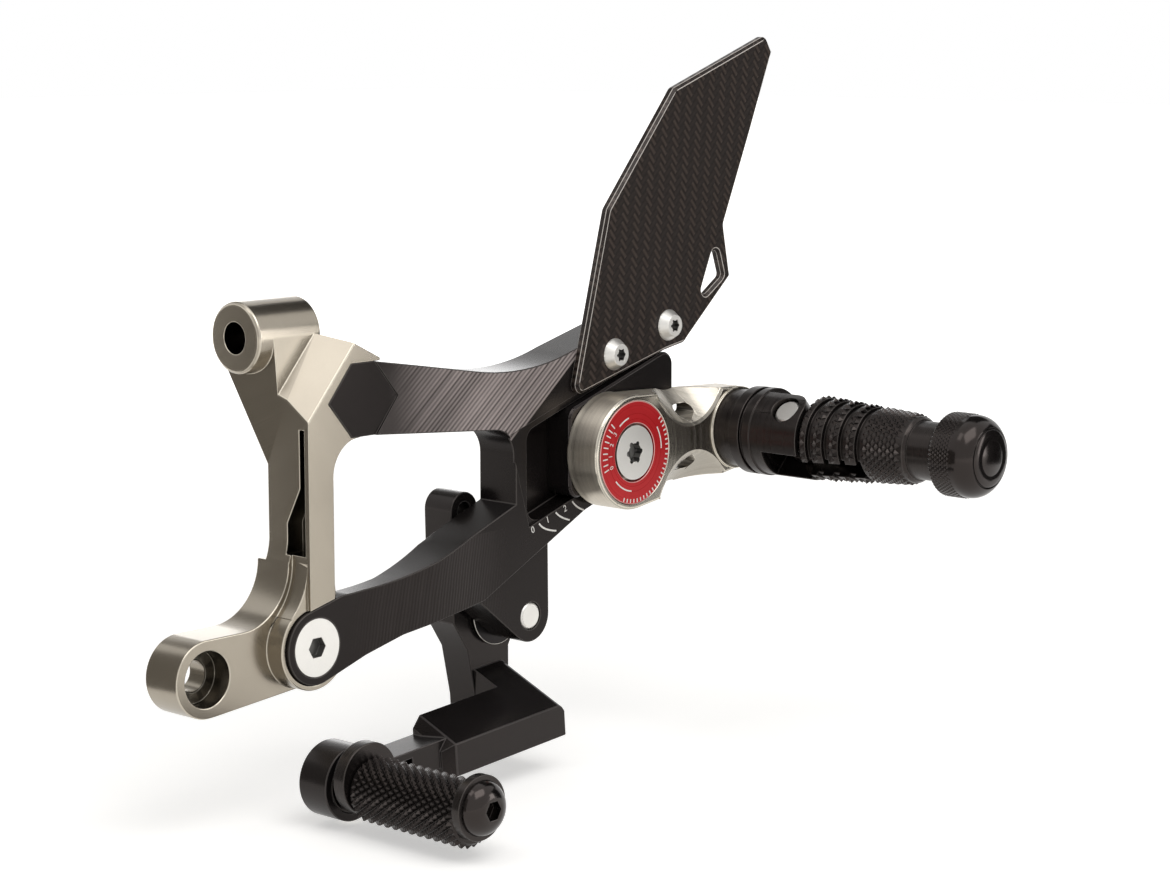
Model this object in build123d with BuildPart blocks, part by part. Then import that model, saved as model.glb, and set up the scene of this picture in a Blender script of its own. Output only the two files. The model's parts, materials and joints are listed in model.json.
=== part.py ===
from build123d import *
import os
from math import cos, radians, sin, tan

# A gear-side rearset footrest as it bolts to the motorcycle: X points rearward, Y inboard, Z up.
# The origin is the lower frame bolt, on the face that seats on the frame.
# Lengths called "out" are distances outboard of that face.

# Fits
running_fit = 0.05
static_fit = 0.05
thread_fit = 0.05
face_gap = 0.05
free_gap = 0.35

# Frame bracket: foot, strut, head and forward-facing boss
lug_radius = 10.5
lug_thickness = 12.5
frame_bolt_radius = 4.25
bolt_recess_radius = 7.5
bolt_recess_depth = 6.0
seat_x = 32.2
seat_z = 4.1
seat_rim = 1.6
strut_front = 30.0
strut_width = 9.0
strut_inner = 3.2
scallop_radius = 16.0
scallop_reach = 1.5
sweep_height = 7.0
flare_reach = 6.0
flare_height = 11.0
strut_pocket_depth = 5.5
strut_pocket_width = 7.0
strut_pocket_neck = 1.8
strut_pocket_low = 28.7
strut_pocket_bend = 37.0
strut_pocket_shoulder = 46.8
strut_pocket_high = 62.5
strut_flange = 1.8
head_inner = 3.2
head_rear = 56.5
head_corner_z = 79.8
facet_low_z = 74.7
facet_top_x = 41.0
facet_top_z = 87.5
facet_foot_z = 64.7
facet_reach = 9.5
facet_rise = 6.3
head_fillet = 10.0
boss_inboard = 1.3
boss_z = 86.2
boss_radius = 9.7
boss_length = 7.0
boss_block_length = 15.0
web_lean = (1.0, 0.178, 0.079)
boss_web_low = 52.0
boss_edge = 0.8

# Wishbone plate: two arms on the bracket, a web and the adjuster track
arm_out = 19.4
arm_end_thickness = 6.0
seat_step = 1.0
arm_end_radius = 10.2
pocket_fit = 0.1
pad_x = 50.0
pad_z = 69.0
pad_half_width = 12.5
pad_half_height = 10.0
pad_half_flat = 4.2
pad_step = 0.5
plate_out = 23.4
plate_inner = 9.0
window_rear = 105.0
upper_top_bend = (92.0, 72.8)
upper_top_end = (128.3, 75.5)
upper_crease = (102.8, 54.3)
upper_crease_angle = 39.2
upper_fall_length = 37.2
upper_fall_reach = 46.0
lower_rail_bend = (133.8, 28.3)
lower_edge_bend = (92.0, 8.0)
lower_edge_slope = 9.0
lower_top_angle = 101.9
lower_top_bend = (41.7, 16.9)
lower_low_angle = -75.2
lower_low_bend = (62.2, 2.9)
lower_top_middle = (70.0, 20.8)
lower_top_end = (87.0, 27.0)
lower_crease_x = 74.0
lower_fall_x = 50.0
window_low_z = 33.8
window_high_z = 47.5
window_top = (97.0, 55.8)
arm_inner_bend = 58.0
arm_inner_end = 80.0
track_depth = 7.0
track_fillet = 4.0
track_low = -9.2
track_high = 16.8
track_ledge = 1.0
ledge_width = 2.2
plate_tail = 15.4
wing_tail = 32.4
wing_height = 12.5
wing_thickness = 8.0
lower_rail = 5.3

# Screws that hold the arms to the bracket
arm_screw_radius = 4.0
arm_screw_head = 8.0
arm_screw_socket = 2.6
arm_screw_socket_depth = 2.4
lower_screw_length = 17.5
upper_screw_head = 6.5
upper_screw_head_height = 5.0
upper_screw_recess = 5.2
upper_screw_socket = 3.0
upper_screw_reach = 4.5

# Adjuster slider and its clamp screws
hub_x = 140.6
hub_z = 46.0
slide_angle = 18.0
slide_travel = 15.2
slider_proud = 2.0
slider_reach = 15.3
slider_tail = 30.4
slider_edge = 0.6
clamp_screw_radius = 3.0
clamp_head_radius = 5.0
clamp_head_height = 6.0
clamp_washer_radius = 6.2
clamp_washer_thickness = 1.2
clamp_screw_s = 8.0
clamp_screw_low = -3.0
clamp_screw_high = 11.0
slot_clearance = 0.4
clamp_thread_depth = 6.5

# Peg hub with its arm, index ring and hub bolt
hub_radius = 16.7
hub_length = 11.45
hub_edge = 0.6
ring_radius = 15.0
ring_bore = 8.6
ring_thickness = 2.0
hub_bolt_radius = 4.0
hub_bolt_head = 8.0
hub_bolt_gap = 0.15
hub_bolt_socket = 2.7
hub_bolt_socket_lobe = 0.75
arm_rise = 2.9
arm_length = 47.0
arm_inner_gap = 1.8
peg_boss_radius = 12.4
peg_boss_rise = 0.6
arm_waist = 4.2
arm_scallop_radius = 19.0
arm_window_edge = 9.8
arm_window_tip = 4.8
arm_window_front = 18.5
arm_window_rear = 34.0
arm_window_fillet = 1.6

# Peg base: spigot, flange and fork
spigot_radius = 11.6
spigot_length = 6.3
flange_radius = 13.1
flange_width = 3.6
groove_radius = 12.0
groove_width = 1.4
collar_width = 2.6
fork_radius = 12.7
fork_length = 10.5
fold_direction = 45.0
ear_radius = 6.5
tongue_thickness = 10.0
tongue_gap = 0.3
hinge_radius = 3.0
hinge_head_radius = 4.0
hinge_head_height = 1.2
hinge_length = 20.4
hinge_spot_margin = 0.4
base_bolt_radius = 4.0
base_bolt_head = 6.5
base_bolt_head_height = 5.0
base_bolt_thread = 12.0

# Folding foot peg, its spring and its end cap
barrel_radius = 12.0
barrel_end_radius = 9.6
barrel_length = 36.0
barrel_edge = 0.8
rib_pitch = 5.6
rib_count = 4
rib_groove = 1.3
rib_groove_width = 1.8
neck_radius = 8.4
neck_length = 8.0
spring_slot_width = 6.0
spring_slot_length = 20.0
spring_slot_floor = 2.6
spring_wire = 0.7
spring_coil_radius = 4.2
spring_turns = 2
spring_pitch = 1.45
spring_inner_leg = 5.5
spring_outer_leg = 14.0
cap_radius = 11.8
cap_length = 15.5
cap_edge = 1.0
cap_shoulder = 2.0
cap_dome = 6.0
cap_groove_radius = 8.4
cap_groove_width = 0.5
cap_groove_depth = 1.0
stud_radius = 4.0
stud_reach = 12.0
stud_cap_reach = 8.0

# Heel guard, with its outline measured from the hub
guard_thickness = 2.6
guard_bevel = 0.9
guard_corner = 2.5
guard_window_corner = 1.5
guard_screw_radius = 2.5
guard_head_radius = 4.75
guard_head_height = 2.75
guard_head_taper = 30.0
guard_socket = 1.5
guard_socket_lobe = 0.4
guard_socket_floor = 0.9
guard_thread_depth = 7.0
guard_screw_places = ((3.3, 27.4), (27.4, 34.0))
guard_outline = (
    (-12.3, 16.6),
    (-12.8, 20.0),
    (0.7, 69.6),
    (30.0, 103.7),
    (73.0, 119.0),
    (76.2, 114.0),
    (65.9, 90.1),
    (53.5, 62.5),
    (56.8, 46.6),
    (35.4, 28.1),
    (26.7, 26.6),
)
guard_window = ((49.4, 57.4), (53.0, 47.0), (41.4, 39.4))

# Shift lever, its pivot and its toe arm
pivot_x = 112.4
pivot_z = 0.2
pivot_radius = 4.0
pivot_lug_radius = 7.6
pivot_lug_out = 21.9
pivot_lug_front = (90.5, 8.2)
pivot_lug_rear = (119.8, 20.8)
bush_wall = 2.0
thrust_washer_radius = 10.2
thrust_washer_thickness = 1.5
lever_thickness = 10.8
lever_boss_radius = 12.0
nose_x = 100.2
nose_z = 30.8
nose_radius = 5.4
rod_thread_radius = 2.5
pivot_head_radius = 7.0
pivot_head_height = 3.2
lever_waist = (95.6, -1.7)
lever_knee = (101.2, -10.3)
leg_front = 104.8
leg_rear = 118.2
leg_low = -27.0
toe_tilt = 4.3
toe_out = 30.0
toe_width = 14.0
toe_rear_z = -30.0
toe_bar_height = 9.5
toe_block_length = 47.5
toe_block_edge = 3.0
toe_facet_drop = 10.0
toe_ring_length = 80.0
toe_link_lift = 2.0
toe_link_height = 8.0
toe_ring_lift = 3.0
toe_ring_radius = 10.4
toe_corner = 3.0
toe_ring_width = 10.5
toe_slit = 1.6
pinch_screw_radius = 2.5
pinch_head_radius = 4.2
pinch_head_depth = 2.5
pinch_offset = 15.0
pinch_screw_length = 9.0
pinch_socket = 2.0

# Lock screw that bears on the eccentric base from below
lock_angle = -70.0
lock_radius = 2.0
lock_head_radius = 3.7
lock_head_height = 2.4
lock_head_taper = 25.0
lock_seat = 1.0
lock_socket = 1.25

# Toe peg on its eccentric base
toe_stub_radius = 8.0
toe_offset = 2.5
toe_neck_radius = 5.2
toe_neck_length = 2.4
toe_flange_radius = 9.8
toe_flange_width = 4.0
toe_sleeve_radius = 9.0
toe_sleeve_length = 39.0
toe_collar_radius = 8.7
toe_collar_width = 2.6
toe_screw_radius = 3.0
toe_screw_head = 7.4
toe_screw_head_height = 4.2
toe_screw_thread = 10.0
toe_screw_socket = 2.4
toe_screw_socket_depth = 2.8
toe_screw_crown = 1.05

# Heights and places that follow from the sizes above
foot_x = strut_front - scallop_reach - scallop_radius
foot_z = lug_radius + scallop_radius
seat_out = arm_out - seat_step
arm_seat = arm_out - arm_end_thickness
seat_radius = arm_end_radius + seat_rim
strut_rear = strut_front + strut_width
head_low = pad_z - pad_half_height
track_floor = plate_out - track_depth
slider_out = plate_out + slider_proud
slider_front = hub_x - slider_reach
slider_rear = hub_x + slider_tail
track_front = slider_front - slide_travel * cos(radians(slide_angle)) - free_gap
plate_rear = hub_x + plate_tail
wing_rear = hub_x + wing_tail
hub_base = slider_out + face_gap
hub_out = hub_base + hub_length
arm_inner = slider_out + arm_inner_gap
peg_boss_out = hub_out + peg_boss_rise
flange_out = peg_boss_out + spigot_length
fork_out = flange_out + flange_width + groove_width + collar_width
pin_out = fork_out + fork_length
ear_out = pin_out + ear_radius
barrel_out = ear_out + free_gap
neck_out = barrel_out + barrel_length
cap_out = neck_out + neck_length
peg_x = hub_x + arm_length * cos(radians(arm_rise))
peg_z = hub_z + arm_length * sin(radians(arm_rise))
tongue_radius = ear_radius - free_gap
spring_gap_end = spring_coil_radius + spring_wire + free_gap
spring_slot_end = ear_radius + free_gap + spring_slot_length
clamp_head_out = plate_inner - face_gap - clamp_washer_thickness
clamp_places = ((clamp_screw_s, clamp_screw_low), (clamp_screw_s, clamp_screw_high))
guard_out = plate_out + guard_thickness
lever_out = plate_inner - thrust_washer_thickness - 2 * face_gap
lever_inner = lever_out - lever_thickness
pivot_head_out = lever_inner - face_gap - thrust_washer_thickness
toe_inner = toe_out - toe_width
toe_x = leg_rear - toe_ring_length * cos(radians(toe_tilt)) - toe_ring_lift * sin(radians(toe_tilt))
toe_z = toe_rear_z - toe_ring_length * sin(radians(toe_tilt)) + toe_ring_lift * cos(radians(toe_tilt))
toe_ring_out = toe_inner + toe_ring_width
toe_flange_out = toe_ring_out + toe_neck_length
toe_sleeve_out = toe_flange_out + toe_flange_width
toe_collar_out = toe_sleeve_out + toe_sleeve_length
toe_head_out = toe_collar_out + toe_collar_width
toe_head_top = toe_head_out + toe_screw_head_height
toe_peg_z = toe_z + toe_offset


def side(out):
    """A plane along the motorcycle's side that faces outboard: sketches on it read x, z."""
    return Plane.XZ.offset(out)


def across(x):
    """A plane across the motorcycle that faces rearward: sketches on it read y, z."""
    return Plane.YZ.offset(x)


def plan(z):
    """A plane seen from above: sketches on it read x, y."""
    return Plane.XY.offset(z)


def track(x, n):
    """A point of the side view on the adjuster's line, n above the line through the hub."""
    return (x, hub_z + (x - hub_x) * tan(radians(slide_angle)) + n / cos(radians(slide_angle)))


def track_plane(out):
    """A side plane centred on the hub, with its x along the adjuster's travel."""
    direction = (cos(radians(slide_angle)), 0, sin(radians(slide_angle)))
    return Plane(origin=(hub_x, -out, hub_z), x_dir=direction, z_dir=(0, -1, 0))


def guard_plane(out):
    """A side plane centred on the hub: sketches on it read x, z from there."""
    return Plane(origin=(hub_x, -out, hub_z), x_dir=(1, 0, 0), z_dir=(0, -1, 0))


def hub_plane(out):
    """A side plane centred on the hub, with its x along the peg arm."""
    direction = (cos(radians(arm_rise)), 0, sin(radians(arm_rise)))
    return Plane(origin=(hub_x, -out, hub_z), x_dir=direction, z_dir=(0, -1, 0))


fold_x = cos(radians(fold_direction))
fold_z = sin(radians(fold_direction))


def peg_plane(out):
    """A side plane centred on the peg, with x along the fold and y along the hinge pin."""
    return Plane(origin=(peg_x, -out, peg_z), x_dir=(fold_x, 0, fold_z), z_dir=(0, -1, 0))


crease_x = cos(radians(upper_crease_angle))
crease_z = sin(radians(upper_crease_angle))

# The plane across the upper arm's crease reads x away from the crease and y outboard
upper_fall_plane = Plane(
    origin=(upper_crease[0], 0, upper_crease[1]),
    x_dir=(-crease_z, 0, crease_x),
    z_dir=(crease_x, 0, crease_z),
)

# The plane of the peg's fold reads x along the fold and y outboard from the hinge pin
fold_plane = Plane(
    origin=(peg_x, -pin_out, peg_z),
    x_dir=(fold_x, 0, fold_z),
    z_dir=(fold_z, 0, -fold_x),
)

# The plane of the peg's turned profiles reads x from its axis and y outboard
lathe_plane = Plane(
    origin=(peg_x, 0, peg_z),
    x_dir=(fold_x, 0, fold_z),
    z_dir=(fold_z, 0, -fold_x),
)


def toe_plane(back):
    """A plane across the toe arm that faces forward along it: sketches read out, height."""
    tilt = radians(toe_tilt)
    start = (leg_rear - back * cos(tilt), 0, toe_rear_z - back * sin(tilt))
    return Plane(origin=start, x_dir=(0, -1, 0), z_dir=(-cos(tilt), 0, -sin(tilt)))


def pinch_plane(height):
    """A plane under the toe bar at the pinch screw that faces down from the bar's middle."""
    tilt = radians(toe_tilt)
    back = toe_ring_length - pinch_offset
    lift = toe_ring_lift - height
    start_x = leg_rear - back * cos(tilt) - lift * sin(tilt)
    start_z = toe_rear_z - back * sin(tilt) + lift * cos(tilt)
    start = (start_x, -toe_inner - toe_ring_width / 2, start_z)
    return Plane(origin=start, x_dir=(0, -1, 0), z_dir=(sin(tilt), 0, -cos(tilt)))


def lock_plane(reach):
    """A plane that faces away from the clamp ring's middle along the lock screw."""
    away = (cos(radians(lock_angle)), 0, sin(radians(lock_angle)))
    start = (toe_x + reach * away[0], -toe_inner - toe_ring_width / 2, toe_z + reach * away[2])
    return Plane(origin=start, x_dir=(0, -1, 0), z_dir=away)


def scallop_plane(turn):
    """The middle of the round cutter over the arm's outer corner, above (1) or below (-1)."""
    reach = arm_scallop_radius * cos(radians(45))
    lift = turn * (arm_waist + reach)
    rise = radians(arm_rise)
    middle = (arm_window_front + arm_window_rear) / 2
    start_x = hub_x + middle * cos(rise) - lift * sin(rise)
    start_z = hub_z + middle * sin(rise) + lift * cos(rise)
    slope = (-turn * sin(rise), 1, turn * cos(rise))
    return Plane(
        origin=(start_x, -hub_out - reach, start_z),
        x_dir=(cos(rise), 0, sin(rise)),
        z_dir=slope,
    )


def rib_out(k):
    """The middle of one rib groove."""
    return barrel_out + barrel_edge + (k + 0.5) * rib_pitch


def rib_radius(k):
    """The barrel's radius at one rib groove."""
    share = (rib_out(k) - barrel_out) / barrel_length
    return barrel_radius + (barrel_end_radius - barrel_radius) * share


spring_plane = Plane(
    origin=(
        peg_x + fold_z * spring_pitch * spring_turns / 2,
        -pin_out,
        peg_z - fold_x * spring_pitch * spring_turns / 2,
    ),
    x_dir=(-fold_x, 0, -fold_z),
    z_dir=(-fold_z, 0, fold_x),
)

hexagon = [
    (pad_x - pad_half_width, pad_z),
    (pad_x - pad_half_flat, pad_z + pad_half_height),
    (pad_x + pad_half_flat, pad_z + pad_half_height),
    (pad_x + pad_half_width, pad_z),
    (pad_x + pad_half_flat, pad_z - pad_half_height),
    (pad_x - pad_half_flat, pad_z - pad_half_height),
]


def arm_end_point(angle):
    """A point on the round end of the lower arm, where one of its edges leaves."""
    return (seat_x + arm_end_radius * cos(radians(angle)), seat_z + arm_end_radius * sin(radians(angle)))


# Lower arm edges at the bracket, shared by the plate and its pocket
arm_top_start = arm_end_point(lower_top_angle)
arm_low_start = arm_end_point(lower_low_angle)


# Half-round block behind the boss: its outboard side runs straight down, and its front leans forward
web_front = Plane(origin=(strut_front, -strut_inner, boss_web_low), z_dir=web_lean)
block_side = boss_inboard - boss_radius
with BuildPart() as boss_block:
    with BuildSketch(across(strut_front - boss_length)):
        with Locations((boss_inboard, boss_z)):
            Circle(boss_radius)
        with BuildLine():
            Polyline(
                (block_side, boss_z),
                (block_side, boss_web_low),
                (-strut_inner, boss_web_low),
                close=True,
            )
        make_face()
        make_hull()
    extrude(amount=boss_length + boss_block_length)
    split(bisect_by=web_front, keep=Keep.TOP)

# Wedge that carries the leaning front on below the facet
with BuildPart() as facet_wedge:
    with BuildSketch(across(strut_front - boss_length)):
        with BuildLine():
            Polyline(
                (block_side, boss_web_low),
                (block_side, facet_low_z),
                (-arm_seat, facet_low_z),
                (-arm_seat, boss_web_low),
                close=True,
            )
        make_face()
    extrude(amount=boss_length + boss_block_length)
    split(bisect_by=web_front, keep=Keep.TOP)

# Frame bracket
with BuildPart() as frame_bracket:
    # Foot: the frame lug runs to the seat of the lower arm and sweeps up into the strut
    with BuildSketch(side(0)):
        Circle(lug_radius)
        with Locations((seat_x, seat_z)):
            Circle(seat_radius)
        make_hull()
        with BuildLine():
            Polyline(
                (foot_x + scallop_radius, foot_z),
                (-2 * lug_radius, foot_z),
                (-2 * lug_radius, lug_radius),
                (foot_x, lug_radius),
            )
            TangentArc((foot_x, lug_radius), (foot_x + scallop_radius, foot_z), tangent=(1, 0))
        make_face(mode=Mode.SUBTRACT)
        with BuildLine():
            Polyline(
                (foot_x + scallop_radius, foot_z),
                (strut_rear, foot_z),
                (strut_rear, seat_z),
                (foot_x, seat_z),
                (foot_x, lug_radius),
            )
            TangentArc((foot_x, lug_radius), (foot_x + scallop_radius, foot_z), tangent=(1, 0))
        make_face()
    extrude(amount=lug_thickness)
    # Seat: a raised round rim that flares into the strut
    with BuildSketch(side(lug_thickness)):
        with Locations((seat_x, seat_z)):
            Circle(seat_radius)
        with BuildLine():
            flare_top = (strut_front, seat_z + seat_radius + flare_height)
            flare_end = (strut_front - flare_reach, seat_z + seat_radius - flare_reach / 2)
            TangentArc(flare_top, flare_end, tangent=(0, -1))
            Polyline(
                flare_end,
                (seat_x, seat_z),
                (strut_rear + seat_rim, seat_z + arm_end_radius),
                (strut_rear, flare_top[1]),
                flare_top,
            )
        make_face()
    extrude(amount=seat_out - lug_thickness)
    # Strut, flush with the outer faces of the arms, and the sweep that leads into it
    with BuildSketch(side(strut_inner)):
        with BuildLine():
            sweep_top = (strut_front, foot_z + sweep_height)
            TangentArc(sweep_top, (strut_front - scallop_reach, foot_z), tangent=(0, -1))
            Polyline(
                (strut_front - scallop_reach, foot_z),
                (strut_front - scallop_reach, seat_z),
                (strut_front, seat_z),
                sweep_top,
            )
        make_face()
    extrude(amount=lug_thickness - strut_inner)
    with BuildSketch(side(strut_inner)):
        with BuildLine():
            Polyline(
                (strut_front, seat_z),
                (strut_front, pad_z),
                (strut_rear + head_fillet, pad_z),
                (strut_rear + head_fillet, head_low),
            )
            fillet_end = (strut_rear, head_low - head_fillet)
            TangentArc((strut_rear + head_fillet, head_low), fillet_end, tangent=(-1, 0))
            Polyline(fillet_end, (strut_rear, seat_z), (strut_front, seat_z))
        make_face()
    extrude(amount=arm_out - strut_inner)
    # Head around the hexagonal pad, with its broad forward facet
    with BuildSketch(side(head_inner)):
        with BuildLine():
            Polyline(
                (strut_front, head_low),
                (strut_front, facet_low_z),
                (facet_top_x, facet_top_z),
                (head_rear, head_corner_z),
                (head_rear, head_low),
                close=True,
            )
        make_face()
    extrude(amount=arm_out - head_inner)
    add(facet_wedge.part)
    facet_climb = Vector(facet_top_x - strut_front, 0, facet_top_z - facet_low_z)
    facet_run = Vector(0, facet_reach, facet_rise)
    facet_plane = Plane(origin=(strut_front, -arm_out, facet_foot_z), z_dir=facet_climb.cross(facet_run))
    split(bisect_by=facet_plane, keep=Keep.BOTTOM)
    # Leaning block and the boss in front of it
    add(boss_block.part)
    with BuildSketch(across(strut_front - boss_length)):
        with Locations((boss_inboard, boss_z)):
            Circle(boss_radius)
    extrude(amount=boss_length)
    boss_top = (strut_front - boss_length, boss_inboard, boss_z + boss_radius)
    boss_rim = frame_bracket.edges().filter_by(GeomType.CIRCLE).sort_by_distance(boss_top)[0]
    chamfer(boss_rim, length=boss_edge)
    # Deep pocket behind the strut's outer flange, a narrow slot above and wider below
    with BuildSketch(across(strut_front - scallop_reach)):
        with BuildLine():
            Polyline(
                (strut_flange - arm_out, strut_pocket_low),
                (strut_flange - arm_out, strut_pocket_high),
                (strut_flange + strut_pocket_neck - arm_out, strut_pocket_high),
                (strut_flange + strut_pocket_neck - arm_out, strut_pocket_shoulder),
                (strut_flange + strut_pocket_width - arm_out, strut_pocket_bend),
                (strut_flange + strut_pocket_width - arm_out, strut_pocket_low),
                close=True,
            )
        make_face()
    extrude(amount=strut_pocket_depth + scallop_reach, mode=Mode.SUBTRACT)
    # Pockets that locate the two arm ends
    with BuildSketch(side(arm_seat)):
        with Locations((seat_x, seat_z)):
            Circle(arm_end_radius + pocket_fit)
        with BuildLine():
            Polyline(
                (arm_top_start[0], arm_top_start[1] + pocket_fit),
                (lower_top_bend[0], lower_top_bend[1] + pocket_fit),
                (lower_low_bend[0], lower_top_bend[1] + pocket_fit),
                (lower_low_bend[0], lower_low_bend[1] - pocket_fit),
                (arm_low_start[0], arm_low_start[1] - pocket_fit),
                close=True,
            )
        make_face()
        with BuildLine():
            Polyline(*hexagon, close=True)
        make_face()
        with Locations((pad_x + pad_half_width, pad_z)):
            Rectangle(2 * pad_half_width, 2 * pad_half_height)
    extrude(amount=arm_out, mode=Mode.SUBTRACT)
    # Screw holes of both arm ends
    with BuildSketch(side(0)):
        with Locations((seat_x, seat_z), (pad_x, pad_z)):
            Circle(arm_screw_radius + thread_fit)
    extrude(amount=arm_out, mode=Mode.SUBTRACT)
    with BuildSketch(side(head_inner)):
        with Locations((pad_x, pad_z)):
            Circle(upper_screw_head + static_fit)
    extrude(amount=upper_screw_recess, mode=Mode.SUBTRACT)
    # Frame bolt hole with its recess
    with Locations(side(lug_thickness)):
        CounterBoreHole(frame_bolt_radius, bolt_recess_radius, bolt_recess_depth)
    # Boss hole along the motorcycle
    with Locations(Plane(origin=(strut_front - boss_length, boss_inboard, boss_z), z_dir=(-1, 0, 0))):
        Hole(frame_bolt_radius, depth=boss_length + boss_block_length)
frame_bracket.part.label = "frame_bracket"

# Wishbone plate
with BuildPart() as wishbone_plate:
    # Both arms, the web between them, the adjuster's rails and the wing behind the guard
    with BuildSketch(side(plate_inner)):
        with Locations((seat_x, seat_z)):
            Circle(arm_end_radius)
        with BuildLine():
            upper_edge = Polyline(hexagon[5], hexagon[0], hexagon[1], hexagon[2], upper_top_bend)
            TangentArc(upper_top_bend, upper_top_end, tangent=upper_edge % 1)
            Polyline(
                upper_top_end,
                track(wing_rear, track_high + wing_height),
                track(wing_rear, track_high),
                track(plate_rear, track_high),
                track(plate_rear, track_low - lower_rail),
                lower_rail_bend,
                lower_edge_bend,
            )
            TangentArc(
                lower_edge_bend,
                lower_low_bend,
                tangent=(-cos(radians(lower_edge_slope)), -sin(radians(lower_edge_slope))),
            )
            Polyline(lower_low_bend, arm_low_start, arm_top_start, lower_top_bend)
            Spline(lower_top_bend, lower_top_middle, lower_top_end)
            Polyline(lower_top_end, (window_rear, window_low_z), (window_rear, window_high_z))
            TangentArc((window_rear, window_high_z), window_top, tangent=(0, 1))
            Polyline(window_top, hexagon[4], hexagon[5])
        make_face()
    extrude(amount=plate_out - plate_inner)
    # Outer face of the upper arm, falling to the hexagonal pad
    with BuildSketch(upper_fall_plane):
        with BuildLine():
            Polyline(
                (0, plate_out),
                (upper_fall_length, arm_out + pad_step),
                (2 * upper_fall_length, arm_out + pad_step),
                (2 * upper_fall_length, 2 * plate_out),
                (0, 2 * plate_out),
                close=True,
            )
        make_face()
    extrude(amount=upper_fall_reach, both=True, mode=Mode.SUBTRACT)
    with BuildSketch(side(arm_out)):
        with BuildLine():
            Polyline(*hexagon, close=True)
        make_face()
    extrude(amount=plate_out, mode=Mode.SUBTRACT)
    # Outer face of the lower arm, falling to its round end
    with BuildSketch(plan(-window_low_z)):
        with BuildLine():
            Polyline(
                (lower_crease_x, -plate_out),
                (lower_fall_x, -arm_out),
                (-lug_radius, -arm_out),
                (-lug_radius, -2 * plate_out),
                (lower_crease_x, -2 * plate_out),
                close=True,
            )
        make_face()
    extrude(amount=2 * window_low_z, mode=Mode.SUBTRACT)
    # Inner faces of both arms, set out to the bracket's pockets
    with BuildSketch(plan(-pad_z)):
        with BuildLine():
            Polyline(
                (-lug_radius, 0),
                (-lug_radius, -arm_seat),
                (arm_inner_bend, -arm_seat),
                (arm_inner_end, -plate_inner),
                (arm_inner_end, 0),
                close=True,
            )
        make_face()
    extrude(amount=3 * pad_z, mode=Mode.SUBTRACT)
    # Lug for the lever's pivot
    with BuildSketch(side(plate_inner)):
        with Locations((pivot_x, pivot_z)):
            Circle(pivot_lug_radius)
        with BuildLine():
            Polyline(pivot_lug_front, pivot_lug_rear, (pivot_x, pivot_z), close=True)
        make_face()
        make_hull()
    extrude(amount=pivot_lug_out - plate_inner)
    # Shallow ledge around the track, then the track itself
    with BuildSketch(side(plate_out - track_ledge)):
        with BuildLine():
            Polyline(
                track(track_front, track_low),
                track(window_rear - ledge_width, track_high + ledge_width),
                track(2 * wing_rear, track_high + ledge_width),
                track(2 * wing_rear, track_low),
                close=True,
            )
        make_face()
    extrude(amount=plate_out, mode=Mode.SUBTRACT)
    with BuildSketch(side(track_floor)):
        with BuildLine():
            track_wall = Polyline(
                track(2 * wing_rear, track_high),
                track(track_front, track_high),
                track(track_front, track_low),
                track(2 * wing_rear, track_low),
            )
            fillet(track_wall.vertices().sort_by(Axis.X)[0:2], radius=track_fillet)
            Line(track(2 * wing_rear, track_low), track(2 * wing_rear, track_high))
        make_face()
    extrude(amount=plate_out, mode=Mode.SUBTRACT)
    # Back of the wing
    with BuildSketch(side(0)):
        with BuildLine():
            Polyline(
                track(plate_rear, 0),
                track(2 * wing_rear, 0),
                track(2 * wing_rear, track_high + 2 * wing_height),
                track(plate_rear, track_high + 2 * wing_height),
                close=True,
            )
        make_face()
    extrude(amount=plate_out - wing_thickness, mode=Mode.SUBTRACT)
    # Slots for the clamp screws, through the floor of the track
    with BuildSketch(track_plane(0)):
        with Locations(*[(s - slide_travel / 2, n) for s, n in clamp_places]):
            SlotCenterToCenter(slide_travel + slot_clearance, 2 * (clamp_screw_radius + slot_clearance))
    extrude(amount=plate_out, mode=Mode.SUBTRACT)
    # Holes for the pivot pin, both arm screws and the guard screws
    with BuildSketch(side(0)):
        with Locations((pivot_x, pivot_z)):
            Circle(pivot_radius + static_fit)
    extrude(amount=plate_out, mode=Mode.SUBTRACT)
    with Locations(Plane(origin=(seat_x, -arm_out, seat_z), z_dir=(0, -1, 0))):
        CounterSinkHole(
            arm_screw_radius + static_fit,
            arm_screw_head + static_fit,
            depth=arm_out,
            counter_sink_angle=90,
        )
    with BuildSketch(side(0)):
        with Locations((pad_x, pad_z)):
            Circle(arm_screw_radius + thread_fit)
    extrude(amount=arm_seat + upper_screw_reach, mode=Mode.SUBTRACT)
    with BuildSketch(guard_plane(plate_out - guard_thread_depth)):
        with Locations(*guard_screw_places):
            Circle(guard_screw_radius + thread_fit)
    extrude(amount=guard_thread_depth, mode=Mode.SUBTRACT)
wishbone_plate.part.label = "wishbone_plate"

# Arm screws: a countersunk one at the lower seat, a cap screw behind the hexagonal pad
with BuildPart() as lower_arm_screw:
    with BuildSketch(side(arm_out - lower_screw_length)):
        with Locations((seat_x, seat_z)):
            Circle(arm_screw_radius)
    extrude(amount=lower_screw_length)
    with BuildSketch(side(arm_out - arm_screw_head + arm_screw_radius)):
        with Locations((seat_x, seat_z)):
            Circle(arm_screw_radius)
    with BuildSketch(side(arm_out)):
        with Locations((seat_x, seat_z)):
            Circle(arm_screw_head)
    loft()
    with BuildSketch(side(arm_out - arm_screw_socket_depth)):
        with Locations((seat_x, seat_z)):
            RegularPolygon(arm_screw_socket, 6, major_radius=False)
    extrude(amount=arm_screw_socket_depth, mode=Mode.SUBTRACT)
lower_arm_screw.part.label = "lower_arm_screw"

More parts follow.
